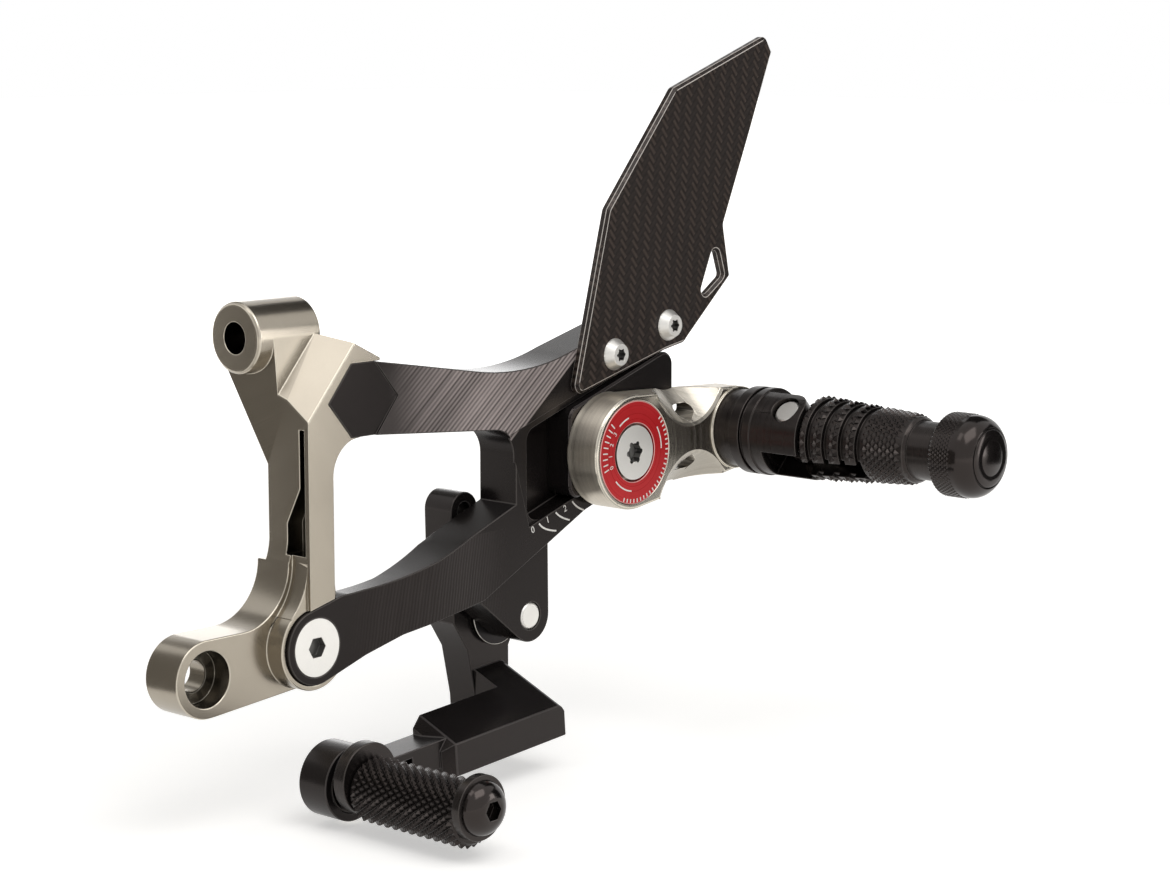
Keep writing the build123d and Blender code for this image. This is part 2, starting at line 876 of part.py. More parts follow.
with BuildPart() as upper_arm_screw:
    with BuildSketch(side(head_inner)):
        with Locations((pad_x, pad_z)):
            Circle(upper_screw_head)
    extrude(amount=upper_screw_head_height)
    with BuildSketch(side(head_inner)):
        with Locations((pad_x, pad_z)):
            Circle(arm_screw_radius)
    extrude(amount=arm_seat + upper_screw_reach - head_inner)
    with BuildSketch(side(head_inner)):
        with Locations((pad_x, pad_z)):
            RegularPolygon(upper_screw_socket, 6, major_radius=False)
    extrude(amount=upper_screw_head_height / 2, mode=Mode.SUBTRACT)
upper_arm_screw.part.label = "upper_arm_screw"

# Adjuster slider
with BuildPart() as peg_slider:
    with BuildSketch(side(track_floor + face_gap)):
        with BuildLine():
            Polyline(
                track(slider_front, track_low + running_fit),
                track(slider_front, track_high - running_fit),
                track(slider_rear, track_high - running_fit),
                track(slider_rear, track_low + running_fit),
                close=True,
            )
        make_face()
    extrude(amount=slider_out - track_floor - face_gap)
    fillet(peg_slider.edges().filter_by(Axis.Y), radius=track_fillet)
    chamfer(peg_slider.faces().sort_by(Axis.Y)[0].edges(), length=slider_edge)
    with BuildSketch(track_plane(0)):
        Circle(hub_bolt_radius + thread_fit)
    extrude(amount=2 * plate_out, mode=Mode.SUBTRACT)
    with BuildSketch(track_plane(0)):
        with Locations(*clamp_places):
            Circle(clamp_screw_radius + thread_fit)
    extrude(amount=track_floor + clamp_thread_depth, mode=Mode.SUBTRACT)
peg_slider.part.label = "peg_slider"

# Clamp screws and washers behind the plate
with BuildPart() as slider_clamp_washers:
    with BuildSketch(track_plane(clamp_head_out)):
        with Locations(*clamp_places):
            Circle(clamp_washer_radius)
            Circle(clamp_screw_radius + static_fit, mode=Mode.SUBTRACT)
    extrude(amount=clamp_washer_thickness)
slider_clamp_washers.part.label = "slider_clamp_washers"

with BuildPart() as slider_clamp_screws:
    with BuildSketch(track_plane(clamp_head_out - clamp_head_height)):
        with Locations(*clamp_places):
            Circle(clamp_head_radius)
    extrude(amount=clamp_head_height)
    with BuildSketch(track_plane(clamp_head_out - clamp_head_height)):
        with Locations(*clamp_places):
            Circle(clamp_screw_radius)
    extrude(amount=track_floor + clamp_thread_depth - clamp_head_out + clamp_head_height)
    with BuildSketch(track_plane(clamp_head_out - clamp_head_height)):
        with Locations(*clamp_places):
            RegularPolygon(clamp_head_radius / 2, 6, major_radius=False)
    extrude(amount=clamp_head_height / 2, mode=Mode.SUBTRACT)
slider_clamp_screws.part.label = "slider_clamp_screws"

# Peg hub and its scalloped arm
with BuildPart() as peg_hub:
    with BuildSketch(hub_plane(arm_inner)):
        Circle(hub_radius)
        with Locations((arm_length, 0)):
            Circle(peg_boss_radius)
        make_hull()
    extrude(amount=hub_out - arm_inner)
    # A round cutter takes both outer corners of the arm down to a waist
    for turn in (1, -1):
        with Locations(scallop_plane(turn)):
            Cylinder(arm_scallop_radius, 4 * hub_radius, mode=Mode.SUBTRACT)
    with BuildSketch(hub_plane(hub_base)):
        Circle(hub_radius)
    extrude(amount=hub_length)
    chamfer(peg_hub.faces().sort_by(Axis.Y)[0].edges(), length=hub_edge)
    with BuildSketch(hub_plane(arm_inner)):
        with Locations((arm_length, 0)):
            Circle(peg_boss_radius)
    extrude(amount=peg_boss_out - arm_inner)
    # Lightening windows through both scallops
    for turn in (1, -1):
        with BuildSketch(hub_plane(0)):
            with BuildLine():
                window_edge = Polyline(
                    (arm_window_front, turn * arm_window_edge),
                    (arm_window_rear, turn * arm_window_edge),
                    ((arm_window_front + arm_window_rear) / 2, turn * arm_window_tip),
                    close=True,
                )
                fillet(window_edge.vertices(), radius=arm_window_fillet)
            make_face()
        extrude(amount=2 * hub_out, mode=Mode.SUBTRACT)
    # Recess of the index ring, countersink of the hub bolt, recess of the base bolt
    with BuildSketch(hub_plane(hub_out - ring_thickness)):
        Circle(ring_radius + static_fit)
    extrude(amount=ring_thickness, mode=Mode.SUBTRACT)
    with Locations(hub_plane(hub_out - ring_thickness)):
        CounterSinkHole(
            hub_bolt_radius + running_fit,
            hub_bolt_head - ring_thickness + hub_bolt_gap,
            depth=hub_out,
            counter_sink_angle=90,
        )
    with BuildSketch(peg_plane(0)):
        Circle(base_bolt_radius + static_fit)
    extrude(amount=2 * hub_out, mode=Mode.SUBTRACT)
    with BuildSketch(peg_plane(arm_inner)):
        Circle(base_bolt_head + static_fit)
    extrude(amount=base_bolt_head_height, mode=Mode.SUBTRACT)
peg_hub.part.label = "peg_hub"

with BuildPart() as index_ring:
    with BuildSketch(hub_plane(hub_out - ring_thickness)):
        Circle(ring_radius)
        Circle(ring_bore, mode=Mode.SUBTRACT)
    extrude(amount=ring_thickness)
index_ring.part.label = "index_ring"

with BuildPart() as hub_bolt:
    with BuildSketch(hub_plane(track_floor + face_gap)):
        Circle(hub_bolt_radius)
    extrude(amount=hub_out - track_floor - face_gap)
    with BuildSketch(hub_plane(hub_out - hub_bolt_head + hub_bolt_radius)):
        Circle(hub_bolt_radius)
    with BuildSketch(hub_plane(hub_out)):
        Circle(hub_bolt_head)
    loft()
    with BuildSketch(hub_plane(hub_out - arm_screw_socket_depth)):
        Circle(hub_bolt_socket)
        with PolarLocations(hub_bolt_socket, 6):
            Circle(hub_bolt_socket_lobe)
    extrude(amount=arm_screw_socket_depth, mode=Mode.SUBTRACT)
hub_bolt.part.label = "hub_bolt"

# Peg base: the fork is cut from a round bar, then the flanges and spigot stand behind it
with BuildPart() as peg_base:
    with BuildSketch(peg_plane(fork_out)):
        Circle(fork_radius)
    extrude(amount=ear_out - fork_out)
    with BuildSketch(fold_plane):
        with BuildLine():
            Polyline((ear_radius, 0), (ear_radius, -fork_length), (-2 * fork_radius, -fork_length))
            Polyline((-2 * fork_radius, -fork_length), (-2 * fork_radius, ear_radius), (0, ear_radius))
            TangentArc((0, ear_radius), (ear_radius, 0), tangent=(1, 0))
        make_face()
    extrude(amount=2 * fork_radius, both=True, mode=Mode.INTERSECT)
    with BuildSketch(fold_plane):
        with Locations((0, (ear_radius - tongue_radius - free_gap) / 2)):
            Rectangle(4 * fork_radius, ear_radius + tongue_radius + free_gap)
    extrude(amount=tongue_thickness / 2 + tongue_gap, both=True, mode=Mode.SUBTRACT)
    with BuildSketch(fold_plane):
        Circle(hinge_radius + static_fit)
    extrude(amount=2 * fork_radius, both=True, mode=Mode.SUBTRACT)
    with BuildSketch(fold_plane.offset(-hinge_length / 2)):
        Circle(hinge_head_radius + hinge_spot_margin)
    extrude(amount=-fork_radius, mode=Mode.SUBTRACT)
    with BuildSketch(fold_plane.offset(hinge_length / 2)):
        Circle(hinge_head_radius + hinge_spot_margin)
    extrude(amount=fork_radius, mode=Mode.SUBTRACT)
    with BuildSketch(peg_plane(peg_boss_out)):
        Circle(spigot_radius)
    extrude(amount=spigot_length)
    with BuildSketch(peg_plane(flange_out)):
        Circle(flange_radius)
    extrude(amount=flange_width)
    with BuildSketch(peg_plane(flange_out + flange_width)):
        Circle(groove_radius)
    extrude(amount=groove_width)
    with BuildSketch(peg_plane(fork_out - collar_width)):
        Circle(flange_radius)
    extrude(amount=collar_width)
    with BuildSketch(peg_plane(0)):
        Circle(base_bolt_radius + thread_fit)
    extrude(amount=peg_boss_out + base_bolt_thread, mode=Mode.SUBTRACT)
peg_base.part.label = "peg_base"

with BuildPart() as peg_base_bolt:
    with BuildSketch(peg_plane(arm_inner)):
        Circle(base_bolt_head)
    extrude(amount=base_bolt_head_height)
    with BuildSketch(peg_plane(arm_inner)):
        Circle(base_bolt_radius)
    extrude(amount=peg_boss_out + base_bolt_thread - arm_inner)
    with BuildSketch(peg_plane(arm_inner)):
        RegularPolygon(base_bolt_head / 2, 6, major_radius=False)
    extrude(amount=base_bolt_head_height / 2, mode=Mode.SUBTRACT)
peg_base_bolt.part.label = "peg_base_bolt"

# Hinge pin of the fold, with a low head on the upper ear
with BuildPart() as hinge_pin:
    with BuildSketch(fold_plane.offset(-hinge_length / 2)):
        Circle(hinge_radius)
    extrude(amount=hinge_length)
    with BuildSketch(fold_plane.offset(-hinge_length / 2 - hinge_head_height)):
        Circle(hinge_head_radius)
    extrude(amount=hinge_head_height)
    head_face = hinge_pin.faces().sort_by(Axis((0, 0, 0), (-fold_z, 0, fold_x)))[-1]
    chamfer(head_face.edges(), length=hinge_head_height / 2)
hinge_pin.part.label = "hinge_pin"

# Foot peg: a ribbed taper on a tongue that folds in the fork
with BuildPart() as foot_peg:
    with BuildSketch(lathe_plane):
        with BuildLine():
            Polyline(
                (0, barrel_out),
                (barrel_radius - barrel_edge, barrel_out),
                (barrel_radius, barrel_out + barrel_edge),
                (barrel_end_radius, neck_out - barrel_edge),
                (barrel_end_radius - barrel_edge, neck_out),
                (neck_radius, neck_out),
                (neck_radius, cap_out),
                (0, cap_out),
                close=True,
            )
        make_face()
        groove_places = [(rib_radius(k) + barrel_radius - rib_groove, rib_out(k)) for k in range(rib_count)]
        with Locations(*groove_places):
            Rectangle(2 * barrel_radius, rib_groove_width, mode=Mode.SUBTRACT)
    revolve(axis=Axis((peg_x, 0, peg_z), (0, -1, 0)))
    with BuildSketch(fold_plane):
        Circle(tongue_radius)
        with Locations((0, (ear_radius + free_gap + barrel_edge) / 2)):
            Rectangle(2 * tongue_radius, ear_radius + free_gap + barrel_edge)
    extrude(amount=tongue_thickness / 2, both=True)
    # Gap for the spring between the cheeks, and the groove for its leg
    with BuildSketch(fold_plane):
        with Locations((0, (spring_gap_end - 2 * ear_radius) / 2)):
            Rectangle(4 * ear_radius, spring_gap_end + 2 * ear_radius)
        with Locations((-spring_slot_floor - barrel_radius, spring_slot_end / 2)):
            Rectangle(2 * barrel_radius, spring_slot_end)
    extrude(amount=spring_slot_width / 2, both=True, mode=Mode.SUBTRACT)
    with BuildSketch(fold_plane):
        Circle(hinge_radius + running_fit)
    extrude(amount=2 * fork_radius, both=True, mode=Mode.SUBTRACT)
    with BuildSketch(peg_plane(cap_out - stud_reach)):
        Circle(stud_radius + thread_fit)
    extrude(amount=stud_reach, mode=Mode.SUBTRACT)
foot_peg.part.label = "foot_peg"

# Return spring around the hinge pin, with one leg in the fork and one in the peg's groove
with BuildPart() as spring_wound:
    with BuildLine():
        coil = Helix(spring_pitch, spring_pitch * spring_turns, spring_coil_radius)
        inner_leg = Line((coil @ 0) - (coil % 0) * spring_inner_leg, coil @ 0)
        Line(coil @ 1, (coil @ 1) + (coil % 1) * spring_outer_leg)
    with BuildSketch(Plane(origin=inner_leg @ 0, z_dir=inner_leg % 0)):
        Circle(spring_wire)
    sweep(is_frenet=True)

with BuildPart() as peg_spring:
    with Locations(spring_plane):
        add(spring_wound.part)
peg_spring.part.label = "peg_spring"

# End cap on a stud
with BuildPart() as peg_end_cap:
    with BuildSketch(lathe_plane):
        with BuildLine():
            Polyline(
                (0, cap_out + cap_length),
                (0, cap_out),
                (neck_radius + cap_edge, cap_out),
                (cap_radius, cap_out + cap_shoulder),
                (cap_radius, cap_out + cap_length - cap_dome),
            )
            TangentArc(
                (cap_radius, cap_out + cap_length - cap_dome),
                (cap_radius - cap_dome, cap_out + cap_length),
                tangent=(0, 1),
            )
            Line((cap_radius - cap_dome, cap_out + cap_length), (0, cap_out + cap_length))
        make_face()
    revolve(axis=Axis((peg_x, 0, peg_z), (0, -1, 0)))
    with BuildSketch(peg_plane(cap_out)):
        Circle(stud_radius + thread_fit)
    extrude(amount=stud_cap_reach, mode=Mode.SUBTRACT)
    # Turned line around the dome
    with BuildSketch(peg_plane(cap_out + cap_length - cap_groove_depth)):
        Circle(cap_groove_radius + cap_groove_width / 2)
        Circle(cap_groove_radius - cap_groove_width / 2, mode=Mode.SUBTRACT)
    extrude(amount=cap_groove_depth, mode=Mode.SUBTRACT)
peg_end_cap.part.label = "peg_end_cap"

with BuildPart() as end_cap_stud:
    with BuildSketch(peg_plane(cap_out - stud_reach)):
        Circle(stud_radius)
    extrude(amount=stud_reach + stud_cap_reach)
end_cap_stud.part.label = "end_cap_stud"

# Heel guard
with BuildPart() as heel_guard:
    with BuildSketch(guard_plane(plate_out)):
        with BuildLine():
            guard_edge = Polyline(*guard_outline, close=True)
            fillet(guard_edge.vertices(), radius=guard_corner)
        make_face()
    extrude(amount=guard_thickness)
    with BuildSketch(guard_plane(plate_out)):
        with BuildLine():
            guard_hole = Polyline(*guard_window, close=True)
            fillet(guard_hole.vertices(), radius=guard_window_corner)
        make_face()
    extrude(amount=guard_thickness, mode=Mode.SUBTRACT)
    chamfer(heel_guard.faces().sort_by(Axis.Y)[0].edges(), length=guard_bevel)
    with BuildSketch(guard_plane(plate_out)):
        with Locations(*guard_screw_places):
            Circle(guard_screw_radius + static_fit)
    extrude(amount=guard_thickness, mode=Mode.SUBTRACT)
heel_guard.part.label = "heel_guard"

with BuildPart() as heel_guard_screws:
    with BuildSketch(guard_plane(plate_out - guard_thread_depth)):
        with Locations(*guard_screw_places):
            Circle(guard_screw_radius)
    extrude(amount=guard_thread_depth + guard_thickness)
    with BuildSketch(guard_plane(guard_out)):
        with Locations(*guard_screw_places):
            Circle(guard_head_radius)
    extrude(amount=guard_head_height, taper=guard_head_taper)
    with BuildSketch(guard_plane(guard_out + guard_socket_floor)):
        with Locations(*guard_screw_places):
            Circle(guard_socket)
        for place_x, place_z in guard_screw_places:
            with Locations((place_x, place_z)):
                with PolarLocations(guard_socket, 6):
                    Circle(guard_socket_lobe)
    extrude(amount=guard_head_height, mode=Mode.SUBTRACT)
heel_guard_screws.part.label = "heel_guard_screws"

# Shift lever: a flat inboard lever that steps outboard under the plate to its toe arm
with BuildPart() as shift_lever:
    with BuildSketch(side(lever_inner)):
        with Locations((pivot_x, pivot_z)):
            Circle(lever_boss_radius)
        with Locations((nose_x, nose_z)):
            Circle(nose_radius)
        with BuildLine():
            Polyline(
                (nose_x - nose_radius, nose_z),
                lever_waist,
                lever_knee,
                (leg_front, leg_low),
                (leg_rear, leg_low),
                (leg_rear, pivot_z - lever_boss_radius),
                (pivot_x + lever_boss_radius, pivot_z),
                (nose_x + nose_radius, nose_z),
                close=True,
            )
        make_face()
    extrude(amount=lever_thickness)
    # The step, the facetted block and the bar to the clamp ring share one top facet
    with BuildSketch(toe_plane(0)):
        with BuildLine():
            Polyline(
                (lever_inner, -toe_bar_height / 2),
                (toe_out, -toe_bar_height / 2),
                (toe_out, toe_bar_height / 2),
                (lever_out, toe_bar_height / 2 + toe_facet_drop),
                (lever_inner, toe_bar_height / 2 + toe_facet_drop),
                close=True,
            )
        make_face()
    extrude(amount=leg_rear - leg_front)
    facet_middle = Vector((lever_out + toe_out) / 2, (toe_bar_height + toe_facet_drop) / 2)
    facet_end = toe_plane(0).from_local_coords(facet_middle)
    fillet(shift_lever.edges().sort_by_distance(facet_end)[0], radius=toe_corner)
    with BuildSketch(toe_plane(toe_corner)):
        with BuildLine():
            Polyline(
                (toe_inner, -toe_bar_height / 2),
                (toe_out, -toe_bar_height / 2),
                (toe_out, toe_bar_height / 2),
                (toe_inner, toe_bar_height / 2 + toe_facet_drop * toe_width / (toe_out - lever_out)),
                close=True,
            )
        make_face()
    extrude(amount=toe_block_length - toe_corner)
    block_end = toe_plane(toe_block_length)
    facet_corner = block_end.from_local_coords(Vector((toe_inner + toe_out) / 2, toe_bar_height))
    outer_corner = block_end.from_local_coords(Vector(toe_out, 0))
    end_edges = [shift_lever.edges().sort_by_distance(corner)[0] for corner in (facet_corner, outer_corner)]
    chamfer(end_edges, length=toe_block_edge)
    with BuildSketch(toe_plane(toe_corner)):
        with Locations((toe_inner + toe_ring_width / 2, toe_link_lift)):
            Rectangle(toe_ring_width, toe_link_height)
    extrude(amount=toe_ring_length - toe_corner)
    with BuildSketch(side(toe_inner)):
        with Locations((toe_x, toe_z)):
            Circle(toe_ring_radius)
    extrude(amount=toe_ring_width)
    # Clamp bore, its slit and the pinch screw across it
    with BuildSketch(side(0)):
        with Locations((toe_x, toe_z)):
            Circle(toe_stub_radius + running_fit)
    extrude(amount=toe_out, mode=Mode.SUBTRACT)
    with BuildSketch(toe_plane(toe_ring_length)):
        with Locations((toe_inner + toe_ring_width / 2, toe_ring_lift)):
            Rectangle(2 * toe_ring_width, toe_slit)
    extrude(amount=-2 * pinch_offset + toe_stub_radius, mode=Mode.SUBTRACT)
    with BuildSketch(pinch_plane(toe_bar_height)):
        Circle(pinch_screw_radius + static_fit)
    extrude(amount=-pinch_screw_length - toe_bar_height / 2, mode=Mode.SUBTRACT)
    with BuildSketch(pinch_plane(toe_bar_height)):
        Circle(pinch_head_radius + static_fit)
    extrude(amount=-pinch_head_depth - toe_bar_height / 2, mode=Mode.SUBTRACT)
    # Flat seat and thread of the lock screw
    with BuildSketch(lock_plane(toe_ring_radius - lock_seat)):
        Circle(lock_head_radius + free_gap)
    extrude(amount=toe_ring_radius, mode=Mode.SUBTRACT)
    with BuildSketch(lock_plane(toe_stub_radius)):
        Circle(lock_radius + thread_fit)
    extrude(amount=toe_ring_radius, mode=Mode.SUBTRACT)
    # Pivot bore and the thread for the shift rod
    with BuildSketch(side(-2 * lever_thickness)):
        with Locations((pivot_x, pivot_z)):
            Circle(pivot_radius + bush_wall + static_fit)
        with Locations((nose_x, nose_z)):
            Circle(rod_thread_radius)
    extrude(amount=3 * lever_thickness, mode=Mode.SUBTRACT)
shift_lever.part.label = "shift_lever"

with BuildPart() as pinch_screw:
    with BuildSketch(pinch_plane(toe_bar_height / 2 - pinch_head_depth)):
        Circle(pinch_head_radius)
    extrude(amount=pinch_head_depth)
    with BuildSketch(pinch_plane(toe_bar_height / 2)):
        Circle(pinch_screw_radius)
    extrude(amount=-pinch_screw_length)
    with BuildSketch(pinch_plane(toe_bar_height / 2)):
        RegularPolygon(pinch_socket, 6, major_radius=False)
    extrude(amount=-pinch_head_depth / 2, mode=Mode.SUBTRACT)
pinch_screw.part.label = "pinch_screw"

with BuildPart() as toe_lock_screw:
    with BuildSketch(lock_plane(toe_stub_radius + 2 * face_gap)):
        Circle(lock_radius)
    extrude(amount=toe_ring_radius - lock_seat - toe_stub_radius)
    with BuildSketch(lock_plane(toe_ring_radius - lock_seat + face_gap)):
        Circle(lock_head_radius)
    extrude(amount=lock_head_height, taper=lock_head_taper)
    with BuildSketch(lock_plane(toe_ring_radius - lock_seat + lock_head_height / 2)):
        RegularPolygon(lock_socket, 6, major_radius=False)
    extrude(amount=lock_head_height, mode=Mode.SUBTRACT)
toe_lock_screw.part.label = "toe_lock_screw"

# Pivot pin, bush and thrust washers of the lever
with BuildPart() as lever_pivot_pin:
    with BuildSketch(side(pivot_head_out - pivot_head_height)):
        with Locations((pivot_x, pivot_z)):
            Circle(pivot_head_radius)
    extrude(amount=pivot_head_height)
    with BuildSketch(side(pivot_head_out - pivot_head_height)):
        with Locations((pivot_x, pivot_z)):
            Circle(pivot_radius)
    extrude(amount=pivot_lug_out - pivot_head_out + pivot_head_height)
    chamfer(lever_pivot_pin.faces().sort_by(Axis.Y)[0].edges(), length=hub_edge)
lever_pivot_pin.part.label = "lever_pivot_pin"

with BuildPart() as lever_bush:
    with BuildSketch(side(lever_inner)):
        with Locations((pivot_x, pivot_z)):
            Circle(pivot_radius + bush_wall)
            Circle(pivot_radius + running_fit, mode=Mode.SUBTRACT)
    extrude(amount=lever_thickness)
lever_bush.part.label = "lever_bush"

with BuildPart() as thrust_washers:
    for washer_out in (lever_out + face_gap, pivot_head_out):
        with BuildSketch(side(washer_out)):
            with Locations((pivot_x, pivot_z)):
                Circle(thrust_washer_radius)
                Circle(pivot_radius + running_fit, mode=Mode.SUBTRACT)
        extrude(amount=thrust_washer_thickness)
thrust_washers.part.label = "thrust_washers"

# Toe peg: an eccentric base in the clamp ring carries a sleeve, a collar and a button screw
with BuildPart() as toe_peg_base:
    with BuildSketch(side(toe_inner)):
        with Locations((toe_x, toe_z)):
            Circle(toe_stub_radius)
    extrude(amount=toe_ring_width)
    with BuildSketch(side(toe_ring_out)):
        with Locations((toe_x, toe_peg_z)):
            Circle(toe_neck_radius)
    extrude(amount=toe_neck_length)
    with BuildSketch(side(toe_flange_out)):
        with Locations((toe_x, toe_peg_z)):
            Circle(toe_flange_radius)
    extrude(amount=toe_flange_width)
    with BuildSketch(side(toe_sleeve_out - toe_screw_thread)):
        with Locations((toe_x, toe_peg_z)):
            Circle(toe_screw_radius + thread_fit)
    extrude(amount=toe_screw_thread, mode=Mode.SUBTRACT)
toe_peg_base.part.label = "toe_peg_base"

with BuildPart() as toe_peg_sleeve:
    with BuildSketch(side(toe_sleeve_out)):
        with Locations((toe_x, toe_peg_z)):
            Circle(toe_sleeve_radius)
            Circle(toe_screw_radius + static_fit, mode=Mode.SUBTRACT)
    extrude(amount=toe_sleeve_length)
toe_peg_sleeve.part.label = "toe_peg_sleeve"

with BuildPart() as toe_peg_collar:
    with BuildSketch(side(toe_collar_out)):
        with Locations((toe_x, toe_peg_z)):
            Circle(toe_collar_radius)
            Circle(toe_screw_radius + static_fit, mode=Mode.SUBTRACT)
    extrude(amount=toe_collar_width)
toe_peg_collar.part.label = "toe_peg_collar"

with BuildPart() as toe_peg_screw:
    with BuildSketch(Plane(origin=(toe_x, 0, toe_peg_z), x_dir=(1, 0, 0), z_dir=(0, 0, -1))):
        with BuildLine():
            Polyline(
                (0, toe_head_top),
                (0, toe_sleeve_out - toe_screw_thread),
                (toe_screw_radius, toe_sleeve_out - toe_screw_thread),
                (toe_screw_radius, toe_head_out),
                (toe_screw_head, toe_head_out),
            )
            SagittaArc((toe_screw_radius, toe_head_top), (toe_screw_head, toe_head_out), toe_screw_crown)
            Line((toe_screw_radius, toe_head_top), (0, toe_head_top))
        make_face()
    revolve(axis=Axis((toe_x, 0, toe_peg_z), (0, -1, 0)))
    with BuildSketch(side(toe_head_top - toe_screw_socket_depth)):
        with Locations((toe_x, toe_peg_z)):
            RegularPolygon(toe_screw_socket, 6, major_radius=False)
    extrude(amount=toe_screw_head_height, mode=Mode.SUBTRACT)
toe_peg_screw.part.label = "toe_peg_screw"

os.makedirs("parts", exist_ok=True)
export_step(frame_bracket.part, "parts/frame_bracket.step")
export_step(wishbone_plate.part, "parts/wishbone_plate.step")
export_step(lower_arm_screw.part, "parts/lower_arm_screw.step")
export_step(upper_arm_screw.part, "parts/upper_arm_screw.step")
export_step(peg_slider.part, "parts/peg_slider.step")
export_step(slider_clamp_washers.part, "parts/slider_clamp_washers.step")
export_step(slider_clamp_screws.part, "parts/slider_clamp_screws.step")
export_step(peg_hub.part, "parts/peg_hub.step")
export_step(index_ring.part, "parts/index_ring.step")
export_step(hub_bolt.part, "parts/hub_bolt.step")
export_step(peg_base.part, "parts/peg_base.step")
export_step(peg_base_bolt.part, "parts/peg_base_bolt.step")
export_step(hinge_pin.part, "parts/hinge_pin.step")
export_step(foot_peg.part, "parts/foot_peg.step")
export_step(peg_spring.part, "parts/peg_spring.step")
export_step(peg_end_cap.part, "parts/peg_end_cap.step")
export_step(end_cap_stud.part, "parts/end_cap_stud.step")
export_step(heel_guard.part, "parts/heel_guard.step")
export_step(heel_guard_screws.part, "parts/heel_guard_screws.step")
export_step(shift_lever.part, "parts/shift_lever.step")
export_step(pinch_screw.part, "parts/pinch_screw.step")
export_step(toe_lock_screw.part, "parts/toe_lock_screw.step")
export_step(lever_pivot_pin.part, "parts/lever_pivot_pin.step")
export_step(lever_bush.part, "parts/lever_bush.step")
export_step(thrust_washers.part, "parts/thrust_washers.step")
export_step(toe_peg_base.part, "parts/toe_peg_base.step")
export_step(toe_peg_sleeve.part, "parts/toe_peg_sleeve.step")
export_step(toe_peg_collar.part, "parts/toe_peg_collar.step")
export_step(toe_peg_screw.part, "parts/toe_peg_screw.step")
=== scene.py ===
import json
import math

import bmesh
import bpy
from mathutils import Matrix, Vector
from mathutils.bvhtree import BVHTree
from mathutils.geometry import delaunay_2d_cdt

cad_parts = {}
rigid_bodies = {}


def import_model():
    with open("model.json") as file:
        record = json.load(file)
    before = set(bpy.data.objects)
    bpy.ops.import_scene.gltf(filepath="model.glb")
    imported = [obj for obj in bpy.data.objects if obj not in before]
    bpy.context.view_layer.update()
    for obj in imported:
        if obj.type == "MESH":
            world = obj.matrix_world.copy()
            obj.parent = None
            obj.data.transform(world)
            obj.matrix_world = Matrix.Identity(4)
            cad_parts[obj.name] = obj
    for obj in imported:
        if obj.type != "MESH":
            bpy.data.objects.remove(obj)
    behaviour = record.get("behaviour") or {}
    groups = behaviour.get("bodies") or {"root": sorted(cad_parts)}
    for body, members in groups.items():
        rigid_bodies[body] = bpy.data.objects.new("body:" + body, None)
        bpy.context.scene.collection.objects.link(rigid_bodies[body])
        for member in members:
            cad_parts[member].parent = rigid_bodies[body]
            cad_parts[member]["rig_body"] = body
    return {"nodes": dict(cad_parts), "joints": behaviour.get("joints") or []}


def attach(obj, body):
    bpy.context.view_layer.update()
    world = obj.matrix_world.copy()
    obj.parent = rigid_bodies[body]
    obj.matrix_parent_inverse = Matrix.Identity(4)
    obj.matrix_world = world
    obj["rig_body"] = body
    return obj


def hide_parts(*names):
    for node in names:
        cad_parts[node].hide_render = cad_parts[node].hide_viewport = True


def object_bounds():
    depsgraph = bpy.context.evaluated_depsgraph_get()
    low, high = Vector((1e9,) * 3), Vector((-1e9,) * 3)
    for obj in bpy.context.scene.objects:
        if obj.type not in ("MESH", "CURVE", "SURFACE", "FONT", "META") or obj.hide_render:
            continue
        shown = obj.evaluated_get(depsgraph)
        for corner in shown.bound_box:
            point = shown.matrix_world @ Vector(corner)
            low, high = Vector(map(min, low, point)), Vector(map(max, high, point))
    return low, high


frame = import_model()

mm = 0.001
fullTurn = 2 * math.pi
scene = bpy.context.scene
nodes = frame["nodes"]
cadBox = [list(corner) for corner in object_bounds()]   # the CAD model's box, before anything is dressed
joints = {joint["name"]: joint for joint in frame["joints"]}
hubMiddle = Vector(joints["hub_clocking"]["pos_m"])
pegMiddle = Vector(joints["peg_fold"]["pos_m"])
toeMiddle = Vector(joints["toe_peg_clocking"]["pos_m"])
print("frame loaded:", len(nodes), "nodes")


# node helpers, for shader trees and shape trees alike

def addNode(tree, kind, inputs=None, **settings):
    node = tree.nodes.new(kind)
    for name, value in settings.items():
        setattr(node, name, value)
    for key, value in (inputs or {}).items():
        if isinstance(value, bpy.types.NodeSocket):
            tree.links.new(value, node.inputs[key])
        else:
            node.inputs[key].default_value = value
    return node


def calc(tree, operation, *values):
    return addNode(tree, "ShaderNodeMath", dict(enumerate(values)), operation=operation).outputs[0]


def calcVector(tree, operation, *values):
    node = addNode(tree, "ShaderNodeVectorMath", dict(enumerate(values)), operation=operation)
    return node.outputs["Value" if operation in ("DOT_PRODUCT", "LENGTH") else "Vector"]


def scaleVector(tree, vector, factor):
    inputs = {0: vector, "Scale": factor}
    return addNode(tree, "ShaderNodeVectorMath", inputs, operation="SCALE").outputs[0]


def swingAbout(tree, value, middle, swing):
    # a value between 0 and 1 moves a number about its middle
    return calc(tree, "MULTIPLY_ADD", value, swing, middle - swing / 2)


def rangeMap(tree, value, fromLow, fromHigh, toLow=0.0, toHigh=1.0):
    ends = {"Value": value, "From Min": fromLow, "From Max": fromHigh, "To Min": toLow, "To Max": toHigh}
    return addNode(tree, "ShaderNodeMapRange", ends, interpolation_type="SMOOTHSTEP").outputs["Result"]


def mixColour(tree, factor, first, second, blend="MIX"):
    inputs = {0: factor, 6: first, 7: second}
    return addNode(tree, "ShaderNodeMix", inputs, data_type="RGBA", blend_type=blend).outputs[2]


def splitAxes(tree, place):
    return addNode(tree, "ShaderNodeSeparateXYZ", {0: place}).outputs


